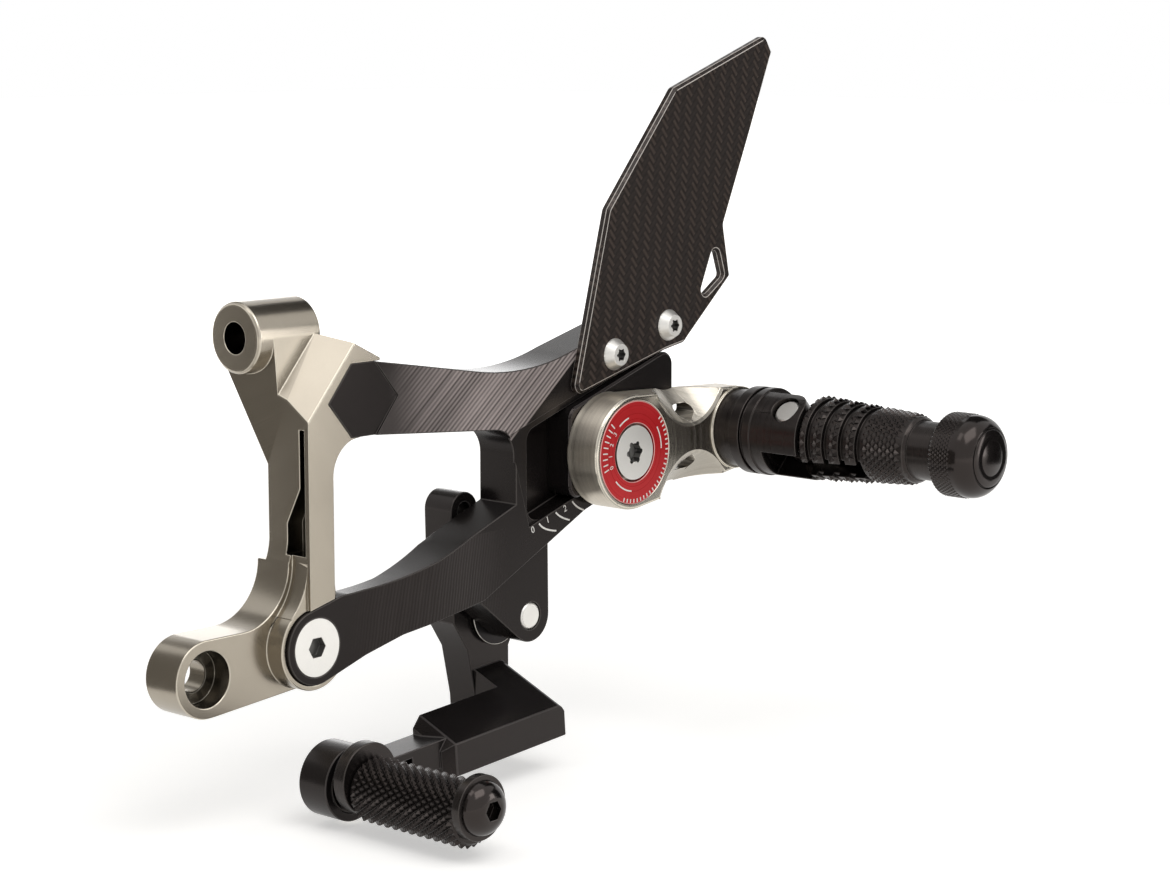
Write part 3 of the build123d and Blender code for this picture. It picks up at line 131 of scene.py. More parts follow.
def joinAxes(tree, axes):
    return addNode(tree, "ShaderNodeCombineXYZ", axes).outputs[0]


def addNoise(tree, place, scale, detail):
    inputs = {"Vector": place, "Scale": scale, "Detail": detail}
    return addNode(tree, "ShaderNodeTexNoise", inputs).outputs[0]


def newGroup(name, inputs, outputs):
    group = bpy.data.node_groups.new(name, "ShaderNodeTree")
    for label, kind, value in inputs:
        socket = group.interface.new_socket(label, in_out="INPUT", socket_type="NodeSocket" + kind)
        socket.default_value = value
    for label in outputs:
        group.interface.new_socket(label, in_out="OUTPUT", socket_type="NodeSocketFloat")
    return group, group.nodes.new("NodeGroupInput").outputs, group.nodes.new("NodeGroupOutput").inputs


def useGroup(tree, group, inputs):
    return addNode(tree, "ShaderNodeGroup", inputs, node_tree=group).outputs


# shared surface effects

feedLook = {"driftScale": 45.0, "driftDetail": 2.0, "wave": 0.26, "pick": 0.3}
bloomLook = {"cloudScale": 55.0, "cloudDetail": 4.0, "cloudShare": 2.0,
             "grainScale": 2600.0, "grainDetail": 2.0}
turnLook = {"wave": 0.12, "bandScale": 0.37, "bandDetail": 3.0}
twillLook = {
    "repeat": 4.0, "over": 1.5,   # of four tows, the first two lie on top
    "threads": ((7000.0, 1.0, 300.0), (300.0, 1.0, 7000.0)), "threadDetail": 1.0,
}


def makeFeedMarks():
    look = feedLook
    group, given, put = newGroup(
        "feedMarks",
        [("Place", "Vector", (0, 0, 0)), ("Across", "Vector", (1, 0, 0)), ("Pitch", "Float", 1.0 * mm),
         ("Wander", "Float", 0.2)],
        ["Height", "Shade"],
    )
    drift = addNoise(group, given["Place"], look["driftScale"], look["driftDetail"])
    across = calcVector(group, "DOT_PRODUCT", given["Place"], given["Across"])
    run = calc(group, "DIVIDE", across, given["Pitch"])
    phase = calc(group, "MULTIPLY_ADD", drift, given["Wander"], run)
    wave = calc(group, "SINE", calc(group, "MULTIPLY", phase, fullTurn))
    pick = addNode(group, "ShaderNodeTexWhiteNoise", {"W": calc(group, "FLOOR", phase)},
                   noise_dimensions="1D").outputs["Value"]   # each line has its own shade
    shade = calc(group, "MULTIPLY_ADD", wave, look["wave"], 0.5)
    picked = swingAbout(group, pick, 0.0, look["pick"])
    group.links.new(calc(group, "MULTIPLY_ADD", wave, 0.5, 0.5), put["Height"])
    group.links.new(calc(group, "ADD", shade, picked), put["Shade"])
    return group


def makeAnodBloom():
    look = bloomLook
    group, given, put = newGroup(
        "anodBloom",
        [("Place", "Vector", (0, 0, 0)), ("Amount", "Float", 0.15)],
        ["Shade", "Grain"],
    )
    cloud = addNoise(group, given["Place"], look["cloudScale"], look["cloudDetail"])
    grain = addNoise(group, given["Place"], look["grainScale"], look["grainDetail"])
    swing = calc(group, "MULTIPLY", calc(group, "SUBTRACT", cloud, 0.5), given["Amount"])
    speck = calc(group, "MULTIPLY", calc(group, "SUBTRACT", grain, 0.5), given["Amount"])
    shade = calc(group, "ADD", 1.0, calc(group, "MULTIPLY_ADD", swing, look["cloudShare"], speck))
    group.links.new(shade, put["Shade"])
    group.links.new(grain, put["Grain"])
    return group


def makeTurnRings():
    look = turnLook
    group, given, put = newGroup(
        "turnRings",
        [("Place", "Vector", (0, 0, 0)), ("Middle", "Vector", (0, 0, 0)), ("Pitch", "Float", 0.4 * mm)],
        ["Height", "Shade"],
    )
    axes = splitAxes(group, calcVector(group, "SUBTRACT", given["Place"], given["Middle"]))
    squares = calc(group, "ADD", calc(group, "POWER", axes[0], 2.0), calc(group, "POWER", axes[2], 2.0))
    radius = calc(group, "SQRT", squares)
    step = calc(group, "DIVIDE", calc(group, "ADD", radius, axes[1]), given["Pitch"])
    wave = calc(group, "SINE", calc(group, "MULTIPLY", step, fullTurn))
    band = addNode(group, "ShaderNodeTexNoise", {
        "W": calc(group, "MULTIPLY", step, look["bandScale"]), "Scale": 1.0, "Detail": look["bandDetail"],
    }, noise_dimensions="1D").outputs[0]
    group.links.new(calc(group, "MULTIPLY_ADD", wave, 0.5, 0.5), put["Height"])
    group.links.new(calc(group, "MULTIPLY_ADD", wave, look["wave"], band), put["Shade"])
    return group


def makeTwillWeave():
    look = twillLook
    group, given, put = newGroup(
        "twillWeave",
        [("Place", "Vector", (0, 0, 0)), ("Tow", "Float", 2.0 * mm)],
        ["Height", "Over", "Fibre"],
    )
    axes = splitAxes(group, given["Place"])
    runs = [calc(group, "DIVIDE", axes[k], given["Tow"]) for k in (0, 2)]
    # the weave steps by one tow from row to row
    rows = [calc(group, "FLOOR", run) for run in runs]
    turn = calc(group, "FLOORED_MODULO", calc(group, "SUBTRACT", *rows), look["repeat"])
    over = calc(group, "LESS_THAN", turn, look["over"])
    under = calc(group, "SUBTRACT", 1.0, over)
    crowns = []
    threads = []
    for run, stretch in zip(runs, look["threads"]):
        crowns.append(calc(group, "SINE", calc(group, "MULTIPLY", calc(group, "FRACT", run), math.pi)))
        drawn = calcVector(group, "MULTIPLY", given["Place"], stretch)
        threads.append(addNoise(group, drawn, 1.0, look["threadDetail"]))
    for label, (first, second) in (("Height", crowns), ("Fibre", threads)):
        below = calc(group, "MULTIPLY", under, second)
        group.links.new(calc(group, "MULTIPLY_ADD", over, first, below), put[label])
    group.links.new(over, put["Over"])
    return group


feedMarks = makeFeedMarks()
anodBloom = makeAnodBloom()
turnRings = makeTurnRings()
twillWeave = makeTwillWeave()
print("surface effects ready")


# finishes

warmTint = (1.0, 0.85, 0.79, 1)   # the black parts mirror a little brown
plainTint = (1.0, 1.0, 1.0, 1)
# painted shade for bores, sockets and pockets, from rays cast from each face
recessShadeRules = {
    "lift": 0.02 * mm, "reach": 12.0 * mm, "rays": 8, "ahead": 0.57, "aside": 0.82,   # slanted rays
    "open": 0.3, "deep": 0.7,   # shares of the rays that meet the piece again
    "dim": 0.85,
}


def newFinish(name, constants):
    material = bpy.data.materials.new(name)
    material.use_nodes = True
    tree = material.node_tree
    tree.nodes.clear()
    shader = addNode(tree, "ShaderNodeBsdfPrincipled", constants)
    output = tree.nodes.new("ShaderNodeOutputMaterial")
    tree.links.new(shader.outputs[0], output.inputs["Surface"])
    spot = tree.nodes.new("ShaderNodeTexCoord").outputs
    return material, tree, shader, spot


def shine(look):
    return {"Metallic": look["metal"], "Specular IOR Level": look["gloss"], "Specular Tint": look["tint"]}


def addLines(tree, spot, look):
    return useGroup(tree, feedMarks, {"Place": spot["Object"], "Across": look["across"],
                                      "Pitch": look["pitch"], "Wander": look["wander"]})


def addBloom(tree, spot, amount):
    return useGroup(tree, anodBloom, {"Place": spot["Object"], "Amount": amount})


def shadeColour(tree, colour, shade):
    grey = addNode(tree, "ShaderNodeCombineColor", {0: shade, 1: shade, 2: shade}).outputs[0]
    return mixColour(tree, 1.0, colour, grey, "MULTIPLY")


def faceMask(tree, name):
    return addNode(tree, "ShaderNodeAttribute", attribute_name=name).outputs["Fac"]


def setColour(tree, shader, colour, edge):
    # painted highlight where an edge is softened, painted shade inside bores and sockets
    edgeHighlight = mixColour(tree, faceMask(tree, "edgeFace"), colour, edge)
    # painted shade: recessed faces are darkened
    light = calc(tree, "MULTIPLY_ADD", faceMask(tree, "paintedRecessShade"), -recessShadeRules["dim"], 1.0)
    tree.links.new(shadeColour(tree, edgeHighlight, light), shader.inputs["Base Color"])


def setGrainRough(tree, shader, bloom, middle, swing):
    tree.links.new(swingAbout(tree, bloom["Grain"], middle, swing), shader.inputs["Roughness"])


def setBump(tree, shader, height, strength, depth):
    bump = addNode(tree, "ShaderNodeBump", {"Height": height, "Strength": strength, "Distance": depth})
    tree.links.new(bump.outputs[0], shader.inputs["Normal"])


# edge is a lighter colour for the softened edges, a painted highlight
milledLooks = {
    "bracketFinish": {
        "metal": 1.0, "gloss": 0.5, "tint": plainTint, "colour": (0.36, 0.322, 0.265, 1),
        "edge": (0.5, 0.455, 0.38, 1), "roughness": 0.25, "lineRough": 0.05, "grainRough": 0.0,
        "across": (0.86, 0.3, 0.42), "pitch": 0.36 * mm, "wander": 0.8, "lineSwing": 0.1, "bloom": 0.1,
        "bump": 0.5, "depth": 0.0012 * mm,
    },
    "leverFinish": {
        "metal": 0.0, "gloss": 0.3, "tint": warmTint, "colour": (0.0085, 0.0074, 0.0074, 1),
        "edge": (0.05, 0.046, 0.045, 1), "roughness": 0.24, "lineRough": 0.0, "grainRough": 0.1,
        "across": (0.3, 0.2, 0.93), "pitch": 0.5 * mm, "wander": 0.9, "lineSwing": 0.3, "bloom": 0.3,
        "bump": 0.4, "depth": 0.008 * mm,
    },
}


def milledFinish(name):
    look = milledLooks[name]
    material, tree, shader, spot = newFinish(name, shine(look))
    lines = addLines(tree, spot, look)
    bloom = addBloom(tree, spot, look["bloom"])
    shade = calc(tree, "MULTIPLY", bloom["Shade"], swingAbout(tree, lines["Shade"], 1.0, look["lineSwing"]))
    setColour(tree, shader, shadeColour(tree, look["colour"], shade), look["edge"])
    lineRough = swingAbout(tree, lines["Shade"], look["roughness"], look["lineRough"])
    grainRough = swingAbout(tree, bloom["Grain"], 0.0, look["grainRough"])
    tree.links.new(calc(tree, "ADD", lineRough, grainRough), shader.inputs["Roughness"])
    setBump(tree, shader, lines["Height"], look["bump"], look["depth"])
    return material


plateLook = {
    "metal": 0.0, "gloss": 0.2, "tint": warmTint, "colour": (0.0085, 0.0072, 0.007, 1),
    # line is the light colour of the cutter lines: the marks are real, their lightness is painted sheen; edge
    # is a painted highlight
    "line": (0.33, 0.283, 0.272, 1), "edge": (0.06, 0.055, 0.052, 1), "roughness": 0.24, "grainRough": 0.08,
    "bloom": 0.25, "bump": 0.6, "depth": 0.1 * mm,
    "facing": (-0.72, -0.86),   # only faces that turn outboard have lines
    "upper": {"across": (-0.632, 0.0, 0.775), "pitch": 1.15 * mm, "wander": 0.12},
    "upperAbove": 50.0 * mm, "upperFade": (59.0 * mm, 72.0 * mm), "upperEnd": -25.5 * mm,
    "glow": (60.0 * mm, 98.0 * mm, 0.6, 1.4),   # painted sheen: the lines brighten along the upper arm
    "lower": {"across": (0.985, 0.0, -0.17), "pitch": 1.05 * mm, "wander": 1.3},
    "lowerBelow": 27.5 * mm, "lowerFade": (42.0 * mm, 58.0 * mm), "lowerEnd": (103.0 * mm, 86.0 * mm),
    "lowerTone": (0.045, 0.004),
}


def plateFinish():
    look = plateLook
    material, tree, shader, spot = newFinish("plateFinish", shine(look))

    def times(*values):
        product = values[0]
        for value in values[1:]:
            product = calc(tree, "MULTIPLY", product, value)
        return product

    axes = splitAxes(tree, spot["Object"])
    x, z = axes[0], axes[2]
    outward = rangeMap(tree, splitAxes(tree, spot["Normal"])[1], *look["facing"])
    across = calcVector(tree, "DOT_PRODUCT", spot["Object"], look["upper"]["across"])
    beforeWing = calc(tree, "GREATER_THAN", across, look["upperEnd"])
    isUpper = calc(tree, "GREATER_THAN", z, look["upperAbove"])
    isLower = calc(tree, "LESS_THAN", z, look["lowerBelow"])
    upperMask = times(outward, beforeWing, isUpper, rangeMap(tree, x, *look["upperFade"]))
    lowerMask = times(outward, isLower, rangeMap(tree, x, *look["lowerFade"]),
                      rangeMap(tree, x, *look["lowerEnd"]))
    upper = addLines(tree, spot, look["upper"])
    lower = addLines(tree, spot, look["lower"])
    height = calc(tree, "ADD", times(upper["Height"], upperMask), times(lower["Height"], lowerMask))
    # painted sheen: the cutter lines lighten the black face, strongly on the upper arm and faintly on the
    # lower
    upperSheen = times(upper["Shade"], rangeMap(tree, x, *look["glow"]))
    lowerTone = calc(tree, "MULTIPLY_ADD", lower["Shade"], *look["lowerTone"])
    marks = calc(tree, "ADD", times(upperSheen, upperMask), times(lowerTone, lowerMask))
    bloom = addBloom(tree, spot, look["bloom"])
    colour = shadeColour(tree, mixColour(tree, marks, look["colour"], look["line"]), bloom["Shade"])
    setColour(tree, shader, colour, look["edge"])
    setGrainRough(tree, shader, bloom, look["roughness"], look["grainRough"])
    setBump(tree, shader, height, look["bump"], look["depth"])
    return material


turnedRules = {
    "bloom": 0.15, "ringRough": 0.12, "bump": 0.5,
    "lean": (0.5, 0.2),   # a face that leans outboard less than this belongs to the round side
}
# edge is a lighter colour for the softened edges, a painted highlight
blackTurned = {
    "metal": 0.0, "gloss": 0.42, "tint": warmTint, "colour": (0.006, 0.0051, 0.005, 1),
    "edge": (0.035, 0.032, 0.03, 1), "roughness": 0.24, "depth": 0.002 * mm,
}
turnedLooks = {
    "hubFinish": {
        "middle": hubMiddle, "metal": 1.0, "gloss": 0.5, "tint": plainTint, "colour": (0.4, 0.37, 0.32, 1),
        "edge": (0.62, 0.575, 0.49, 1), "roughness": 0.22, "pitch": 0.55 * mm, "depth": 0.002 * mm,
        # side is a lighter colour for the round side, a painted highlight
        "swing": 0.4, "brush": 0.85, "side": (0.62, 0.565, 0.48, 1), "sideRough": 0.14,
    },
    "ringFinish": {
        "middle": hubMiddle, "metal": 0.25, "gloss": 0.27, "tint": plainTint,
        "colour": (0.52, 0.018, 0.022, 1), "edge": (0.85, 0.42, 0.40, 1), "roughness": 0.3,
        "pitch": 0.3 * mm, "depth": 0.006 * mm, "swing": 0.2,
    },
    "pegFinish": {**blackTurned, "middle": pegMiddle, "pitch": 0.45 * mm, "swing": 0.5,
                  "brush": 0.8, "side": blackTurned["colour"], "sideRough": 0.06},
    "capFinish": {**blackTurned, "middle": pegMiddle, "edge": (0.03, 0.027, 0.026, 1), "roughness": 0.16,
                  "pitch": 0.3 * mm, "depth": 0.003 * mm, "swing": 0.3},
    "toeFinish": {**blackTurned, "middle": toeMiddle, "pitch": 0.35 * mm, "swing": 0.4,
                  "brush": 0.7, "side": blackTurned["colour"], "sideRough": 0.04},
    "buttonFinish": {**blackTurned, "middle": toeMiddle, "gloss": 0.5, "colour": (0.005, 0.0044, 0.0043, 1),
                     "roughness": 0.15, "pitch": 0.3 * mm, "depth": 0.001 * mm, "swing": 0.3},
}


def turnedFinish(name):
    look = turnedLooks[name]
    material, tree, shader, spot = newFinish(name, {**shine(look), "Anisotropic": look.get("brush", 0.0)})
    rings = useGroup(tree, turnRings, {"Place": spot["Object"], "Middle": look["middle"],
                                       "Pitch": look["pitch"]})
    bloom = addBloom(tree, spot, turnedRules["bloom"])
    colour = look["colour"]
    rough = swingAbout(tree, rings["Shade"], look["roughness"], turnedRules["ringRough"])
    if "brush" in look:   # turning lines on the round side spread the light across themselves
        lean = calc(tree, "ABSOLUTE", splitAxes(tree, spot["Normal"])[1])
        onSide = rangeMap(tree, lean, *turnedRules["lean"])
        spoke = calcVector(tree, "SUBTRACT", spot["Object"], look["middle"])
        around = calcVector(tree, "CROSS_PRODUCT", (0, 1, 0), spoke)
        across = calcVector(tree, "CROSS_PRODUCT", spot["Normal"], around)
        tree.links.new(across, shader.inputs["Tangent"])
        # the round side is mixed towards the side colour, which on the hub is lighter: a painted highlight
        colour = mixColour(tree, onSide, colour, look["side"])
        rough = calc(tree, "MULTIPLY_ADD", onSide, look["sideRough"], rough)
    shade = calc(tree, "MULTIPLY", bloom["Shade"], swingAbout(tree, rings["Shade"], 1.0, look["swing"]))
    setColour(tree, shader, shadeColour(tree, colour, shade), look["edge"])
    tree.links.new(rough, shader.inputs["Roughness"])
    setBump(tree, shader, rings["Height"], turnedRules["bump"], look["depth"])
    return material


metalRules = {"metal": 0.9, "grainRough": 0.12}
# edge colours are painted highlights on softened edges; the black washers get a bright painted rim
metalLooks = {
    "brightSteel": {"colour": (0.76, 0.742, 0.705, 1), "edge": (0.7, 0.68, 0.64, 1),
                    "roughness": 0.42, "bloom": 0.08},
    "blackSteel": {"colour": (0.03, 0.028, 0.027, 1), "edge": (0.1, 0.095, 0.09, 1),
                   "roughness": 0.3, "bloom": 0.3},
    "washerBlack": {"colour": (0.02, 0.018, 0.018, 1), "edge": (0.75, 0.72, 0.66, 1),
                    "roughness": 0.3, "bloom": 0.3},
    "springSteel": {"colour": (0.55, 0.53, 0.5, 1), "edge": (0.55, 0.53, 0.5, 1),
                    "roughness": 0.22, "bloom": 0.2},
    "bushBronze": {"colour": (0.58, 0.4, 0.19, 1), "edge": (0.58, 0.4, 0.19, 1),
                   "roughness": 0.3, "bloom": 0.2},
}


def metalFinish(name):
    look = metalLooks[name]
    material, tree, shader, spot = newFinish(name, {"Metallic": metalRules["metal"]})
    bloom = addBloom(tree, spot, look["bloom"])
    setColour(tree, shader, shadeColour(tree, look["colour"], bloom["Shade"]), look["edge"])
    setGrainRough(tree, shader, bloom, look["roughness"], metalRules["grainRough"])
    return material


carbonLook = {
    "metal": 0.0, "gloss": 0.24, "tint": warmTint, "coat": 0.2, "coatRough": 0.08, "coatIndex": 1.45,
    # warp and weft are one black cloth: their different colours are painted sheen, and edge is a painted
    # highlight on softened edges
    "warp": (0.003, 0.0025, 0.0023, 1), "weft": (0.05, 0.039, 0.033, 1), "edge": (0.55, 0.525, 0.49, 1),
    "glintPower": 1.4, "paintedGlint": (0.75, 0.2), "fibreSwing": 0.9, "roughness": 0.4, "weaveRough": -0.12,
    "tow": 1.8 * mm, "lean": math.radians(40), "bump": 0.5, "depth": 0.06 * mm,
}


def carbonFinish():
    look = carbonLook
    material, tree, shader, spot = newFinish("carbonFinish", {
        **shine(look), "Coat Weight": look["coat"], "Coat Roughness": look["coatRough"],
        "Coat IOR": look["coatIndex"], "Coat Tint": look["tint"]})
    turned = {"Vector": spot["Object"], "Rotation": (0, look["lean"], 0)}
    laid = addNode(tree, "ShaderNodeMapping", turned).outputs[0]
    weave = useGroup(tree, twillWeave, {"Place": laid, "Tow": look["tow"]})
    # painted glint: the crowns of the tows take the lighter colour
    paintedGlint = calc(tree, "MULTIPLY", calc(tree, "POWER", weave["Height"], look["glintPower"]),
                 calc(tree, "MULTIPLY_ADD", weave["Over"], *look["paintedGlint"]))
    cloth = mixColour(tree, paintedGlint, look["warp"], look["weft"])
    cloth = shadeColour(tree, cloth, swingAbout(tree, weave["Fibre"], 1.0, look["fibreSwing"]))
    setColour(tree, shader, cloth, look["edge"])
    rough = swingAbout(tree, weave["Over"], look["roughness"], look["weaveRough"])
    tree.links.new(rough, shader.inputs["Roughness"])
    setBump(tree, shader, weave["Height"], look["bump"], look["depth"])
    return material


paintLook = {
    "metal": 0.0, "gloss": 0.4, "tint": plainTint, "colour": (0.8, 0.78, 0.74, 1), "bloom": 0.12,
    "roughness": 0.45, "grainRough": 0.2,
}


def paintFinish():
    look = paintLook
    material, tree, shader, spot = newFinish("whitePaint", shine(look))
    bloom = addBloom(tree, spot, look["bloom"])
    tree.links.new(shadeColour(tree, look["colour"], bloom["Shade"]), shader.inputs["Base Color"])
    setGrainRough(tree, shader, bloom, look["roughness"], look["grainRough"])
    return material


finishes = {"plateFinish": plateFinish(), "carbonFinish": carbonFinish(), "whitePaint": paintFinish()}
for makeFinish, looks in ((milledFinish, milledLooks), (turnedFinish, turnedLooks),
                          (metalFinish, metalLooks)):
    finishes.update({name: makeFinish(name) for name in looks})
print("finishes ready:", len(finishes))


# every node's finish, and the width in millimetres of its softened edges where it is dressed

dressing = {
    "frame_bracket": ("bracketFinish", 0.35), "wishbone_plate": ("plateFinish", 0.3),
    "peg_slider": ("leverFinish", 0.25), "peg_hub": ("hubFinish", 0.3), "index_ring": ("ringFinish", 0.2),
    "peg_base": ("pegFinish", 0.25), "foot_peg": ("pegFinish", 0.2), "peg_end_cap": ("capFinish", 0.15),
    "heel_guard": ("carbonFinish", 0.15), "shift_lever": ("leverFinish", 0.35),
    "toe_peg_base": ("toeFinish", 0.3), "toe_peg_collar": ("toeFinish", 0.2),
    "toe_peg_screw": ("buttonFinish", 0.15), "lower_arm_screw": ("brightSteel", 0.15),
    "hub_bolt": ("brightSteel", 0.15), "heel_guard_screws": ("brightSteel", 0.15),
    "lever_pivot_pin": ("brightSteel", 0.15), "hinge_pin": ("brightSteel", 0.12),
    "toe_lock_screw": ("brightSteel", 0.12), "thrust_washers": ("washerBlack", 0.15),
    "upper_arm_screw": ("brightSteel", 0.2), "slider_clamp_screws": ("blackSteel", 0.2),
    "slider_clamp_washers": ("brightSteel", 0.1), "peg_base_bolt": ("blackSteel", 0.2),
    "pinch_screw": ("blackSteel", 0.2), "end_cap_stud": ("blackSteel", 0.0),
    "peg_spring": ("springSteel", 0.0), "lever_bush": ("bushBronze", 0.0),
    "toe_peg_sleeve": ("toeFinish", 0.0),
}
edgeRules = {
    "merge": 0.002 * mm, "flat": math.radians(0.6), "segments": 2,
    "ridge": math.radians(3), "crease": math.radians(20), "sharp": math.radians(29),   # turns between faces
    "wide": 2.5 * mm,      # a face wider than this is a flat, not a strip of a round
    "share": 0.38, "least": 0.05,   # of the room beside an edge, and of the wanted width
    "free": 1.0, "slant": 0.25,   # room in metres with nothing near, and a slanting neighbour's share
    "inLine": -0.85,   # a neighbour that carries the edge on
    "cutGap": 1e-6 * mm,
}


def seenMesh(piece):
    bpy.context.view_layer.update()
    seen = piece.evaluated_get(bpy.context.evaluated_depsgraph_get())
    return bpy.data.meshes.new_from_object(seen)


def plainMesh(piece):
    mesh = seenMesh(piece)
    piece.modifiers.clear()
    piece.data = mesh
    return mesh


def cutFlats(mesh):
    # a face with many corners becomes sound triangles, and keeps its corner normals
    insideOnly = 1
    spots = [vert.co.copy() for vert in mesh.vertices]
    shaded = [Vector(normal.vector) for normal in mesh.corner_normals]
    faces, normals, edgeTags = [], [], []
    for polygon in mesh.polygons:
        corners = list(zip(polygon.vertices, (shaded[loop] for loop in polygon.loop_indices)))
        pieces = [range(len(corners))]
        if len(corners) > 4:
            axisU = polygon.normal.orthogonal().normalized()
            axisV = polygon.normal.cross(axisU)
            flat = [Vector((spots[vert].dot(axisU), spots[vert].dot(axisV))) / mm
                    for vert, normal in corners]
            result = delaunay_2d_cdt(flat, [], pieces, insideOnly, edgeRules["cutGap"] / mm)
            places, pieces, origins = result[0], result[2], result[3]
            level = polygon.center.dot(polygon.normal)
            cut = []
            for place, origin in zip(places, origins):
                if origin:
                    cut.append(corners[origin[0]])
                else:
                    cut.append((len(spots), polygon.normal.copy()))
                    spots.append((axisU * place.x + axisV * place.y) * mm + polygon.normal * level)
            corners = cut
        for piece in pieces:
            faces.append([corners[k][0] for k in piece])
            normals.extend(corners[k][1] for k in piece)
            edgeTags.append(float(polygon.material_index))
    sound = bpy.data.meshes.new(mesh.name)
    sound.from_pydata(spots, [], faces, shade_flat=False)
    sound.materials.append(mesh.materials[0])
    sound.attributes.new("edgeFace", "FLOAT", "FACE").data.foreach_set("value", edgeTags)
    sound.normals_split_custom_set(normals)
    return sound


def paintRecessShade(mesh):
    # painted shade in recesses: the share of slanted rays from each face that soon meet the same piece again
    # darkens its colour
    rules = recessShadeRules
    corners = [vert.co for vert in mesh.vertices]
    shape = BVHTree.FromPolygons(corners, [polygon.vertices for polygon in mesh.polygons])
    recessShade = []
    for polygon in mesh.polygons:
        normal = polygon.normal
        side = normal.orthogonal().normalized()
        other = normal.cross(side)
        start = polygon.center + normal * rules["lift"]
        met = 0
        for k in range(rules["rays"]):
            turn = fullTurn * k / rules["rays"]
            ray = normal * rules["ahead"] + (side * math.cos(turn) + other * math.sin(turn)) * rules["aside"]
            met += shape.ray_cast(start, ray, rules["reach"])[0] is not None
        share = (met / rules["rays"] - rules["open"]) / (rules["deep"] - rules["open"])
        recessShade.append(min(1.0, max(0.0, share)))
    mesh.attributes.new("paintedRecessShade", "FLOAT", "FACE").data.foreach_set("value", recessShade)


def newPiece(name, mesh):
    piece = bpy.data.objects.new(name, mesh)
    scene.collection.objects.link(piece)
    return piece


def faceRooms(face):
    # how far the face reaches straight in from the middle of each of its edges
    axisU = face.loops[0].link_loop_next.vert.co - face.loops[0].vert.co
    axisU.normalize()
    axisV = face.normal.cross(axisU)
    flat = [(loop.vert.co.dot(axisU), loop.vert.co.dot(axisV)) for loop in face.loops]
    rooms = {}
    for loop, (startU, startV), (endU, endV) in zip(face.loops, flat, flat[1:] + flat[:1]):
        length = math.hypot(endU - startU, endV - startV)
        if length < edgeRules["merge"]:
            rooms[loop.edge] = 0.0
            continue
        dirU, dirV = (endU - startU) / length, (endV - startV) / length
        midU, midV = (startU + endU) / 2, (startV + endV) / 2
        seen = []
        for u, v in flat:
            runU, runV = u - midU, v - midV
            seen.append((runU * dirU + runV * dirV, runV * dirU - runU * dirV))
        room = edgeRules["free"]
        for (alongA, inA), (alongB, inB) in zip(seen, seen[1:] + seen[:1]):
            if alongA * alongB <= 0 and alongA != alongB:
                reach = inA + (inB - inA) * alongA / (alongA - alongB)
                if reach > edgeRules["merge"]:
                    room = min(room, reach)
        rooms[loop.edge] = room
    return rooms


def endRoom(edge):
    # the shortest neighbour that leaves either end of the edge at an angle
    room = edgeRules["free"]
    for vert in edge.verts:
        away = (edge.other_vert(vert).co - vert.co).normalized()
        for other in vert.link_edges:
            if other is not edge:
                run = other.other_vert(vert).co - vert.co
                if run.normalized().dot(away) > edgeRules["inLine"]:
                    room = min(room, max(run.cross(away).length, edgeRules["slant"] * run.length))
    return room


def softenEdges(nodeName, finish, width):
    shape = bmesh.new()
    shape.from_mesh(nodes[nodeName].data)
    bmesh.ops.remove_doubles(shape, verts=shape.verts, dist=edgeRules["merge"])
    bmesh.ops.dissolve_limit(shape, angle_limit=edgeRules["flat"], verts=shape.verts, edges=shape.edges)
    weight = shape.edges.layers.float.new("bevel_weight_edge")
    beside = {}
    for face in shape.faces:
        face.smooth = True
        face.material_index = 0
        for edge, room in faceRooms(face).items():
            beside.setdefault(edge, []).append(room)
    for edge in shape.edges:
        turn = edge.calc_face_angle(0.0)
        room = min(beside[edge])
        if turn > edgeRules["sharp"]:
            share = min(1.0, edgeRules["share"] * min(room, endRoom(edge)) / width)
            edge[weight] = share if share > edgeRules["least"] else 0.0
            edge.smooth = edge[weight] > 0.0
        else:
            isRidge = turn > edgeRules["ridge"] and room > edgeRules["wide"]
            edge.smooth = not (isRidge or turn > edgeRules["crease"])
    mesh = bpy.data.meshes.new(nodeName + "Soft")
    shape.to_mesh(mesh)
    shape.free()
    if "custom_normal" in mesh.attributes:
        mesh.attributes.remove(mesh.attributes["custom_normal"])
    mesh.materials.clear()
    mesh.materials.append(finish)
    mesh.materials.append(finish)   # a second slot tells the softened faces from the rest
    piece = newPiece(nodeName + "_dressed", mesh)
    bevel = piece.modifiers.new("edges", "BEVEL")
    bevel.limit_method = "WEIGHT"
    bevel.width = width
    bevel.segments = edgeRules["segments"]
    bevel.use_clamp_overlap = False
    bevel.material = 1
    steady = piece.modifiers.new("normals", "WEIGHTED_NORMAL")
    steady.keep_sharp = True
    piece.data = cutFlats(plainMesh(piece))
    paintRecessShade(piece.data)
    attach(piece, nodes[nodeName]["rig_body"])
    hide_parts(nodeName)


for nodeName, (finishName, edgeWidth) in dressing.items():
    if edgeWidth:
        softenEdges(nodeName, finishes[finishName], edgeWidth * mm)
    else:
        nodes[nodeName].data.materials.clear()
        nodes[nodeName].data.materials.append(finishes[finishName])
print("nodes dressed:", len(dressing))


# shape trees for what repeats

toothLook = {"sides": 4, "top": 0.16}
toothNotes = ("toothTurn", "toothSize")   # kept on the points while some of them are deleted


def shapeNode(tree, kind, inputs=None, **settings):
    return addNode(tree, "GeometryNode" + kind, inputs, **settings).outputs[0]


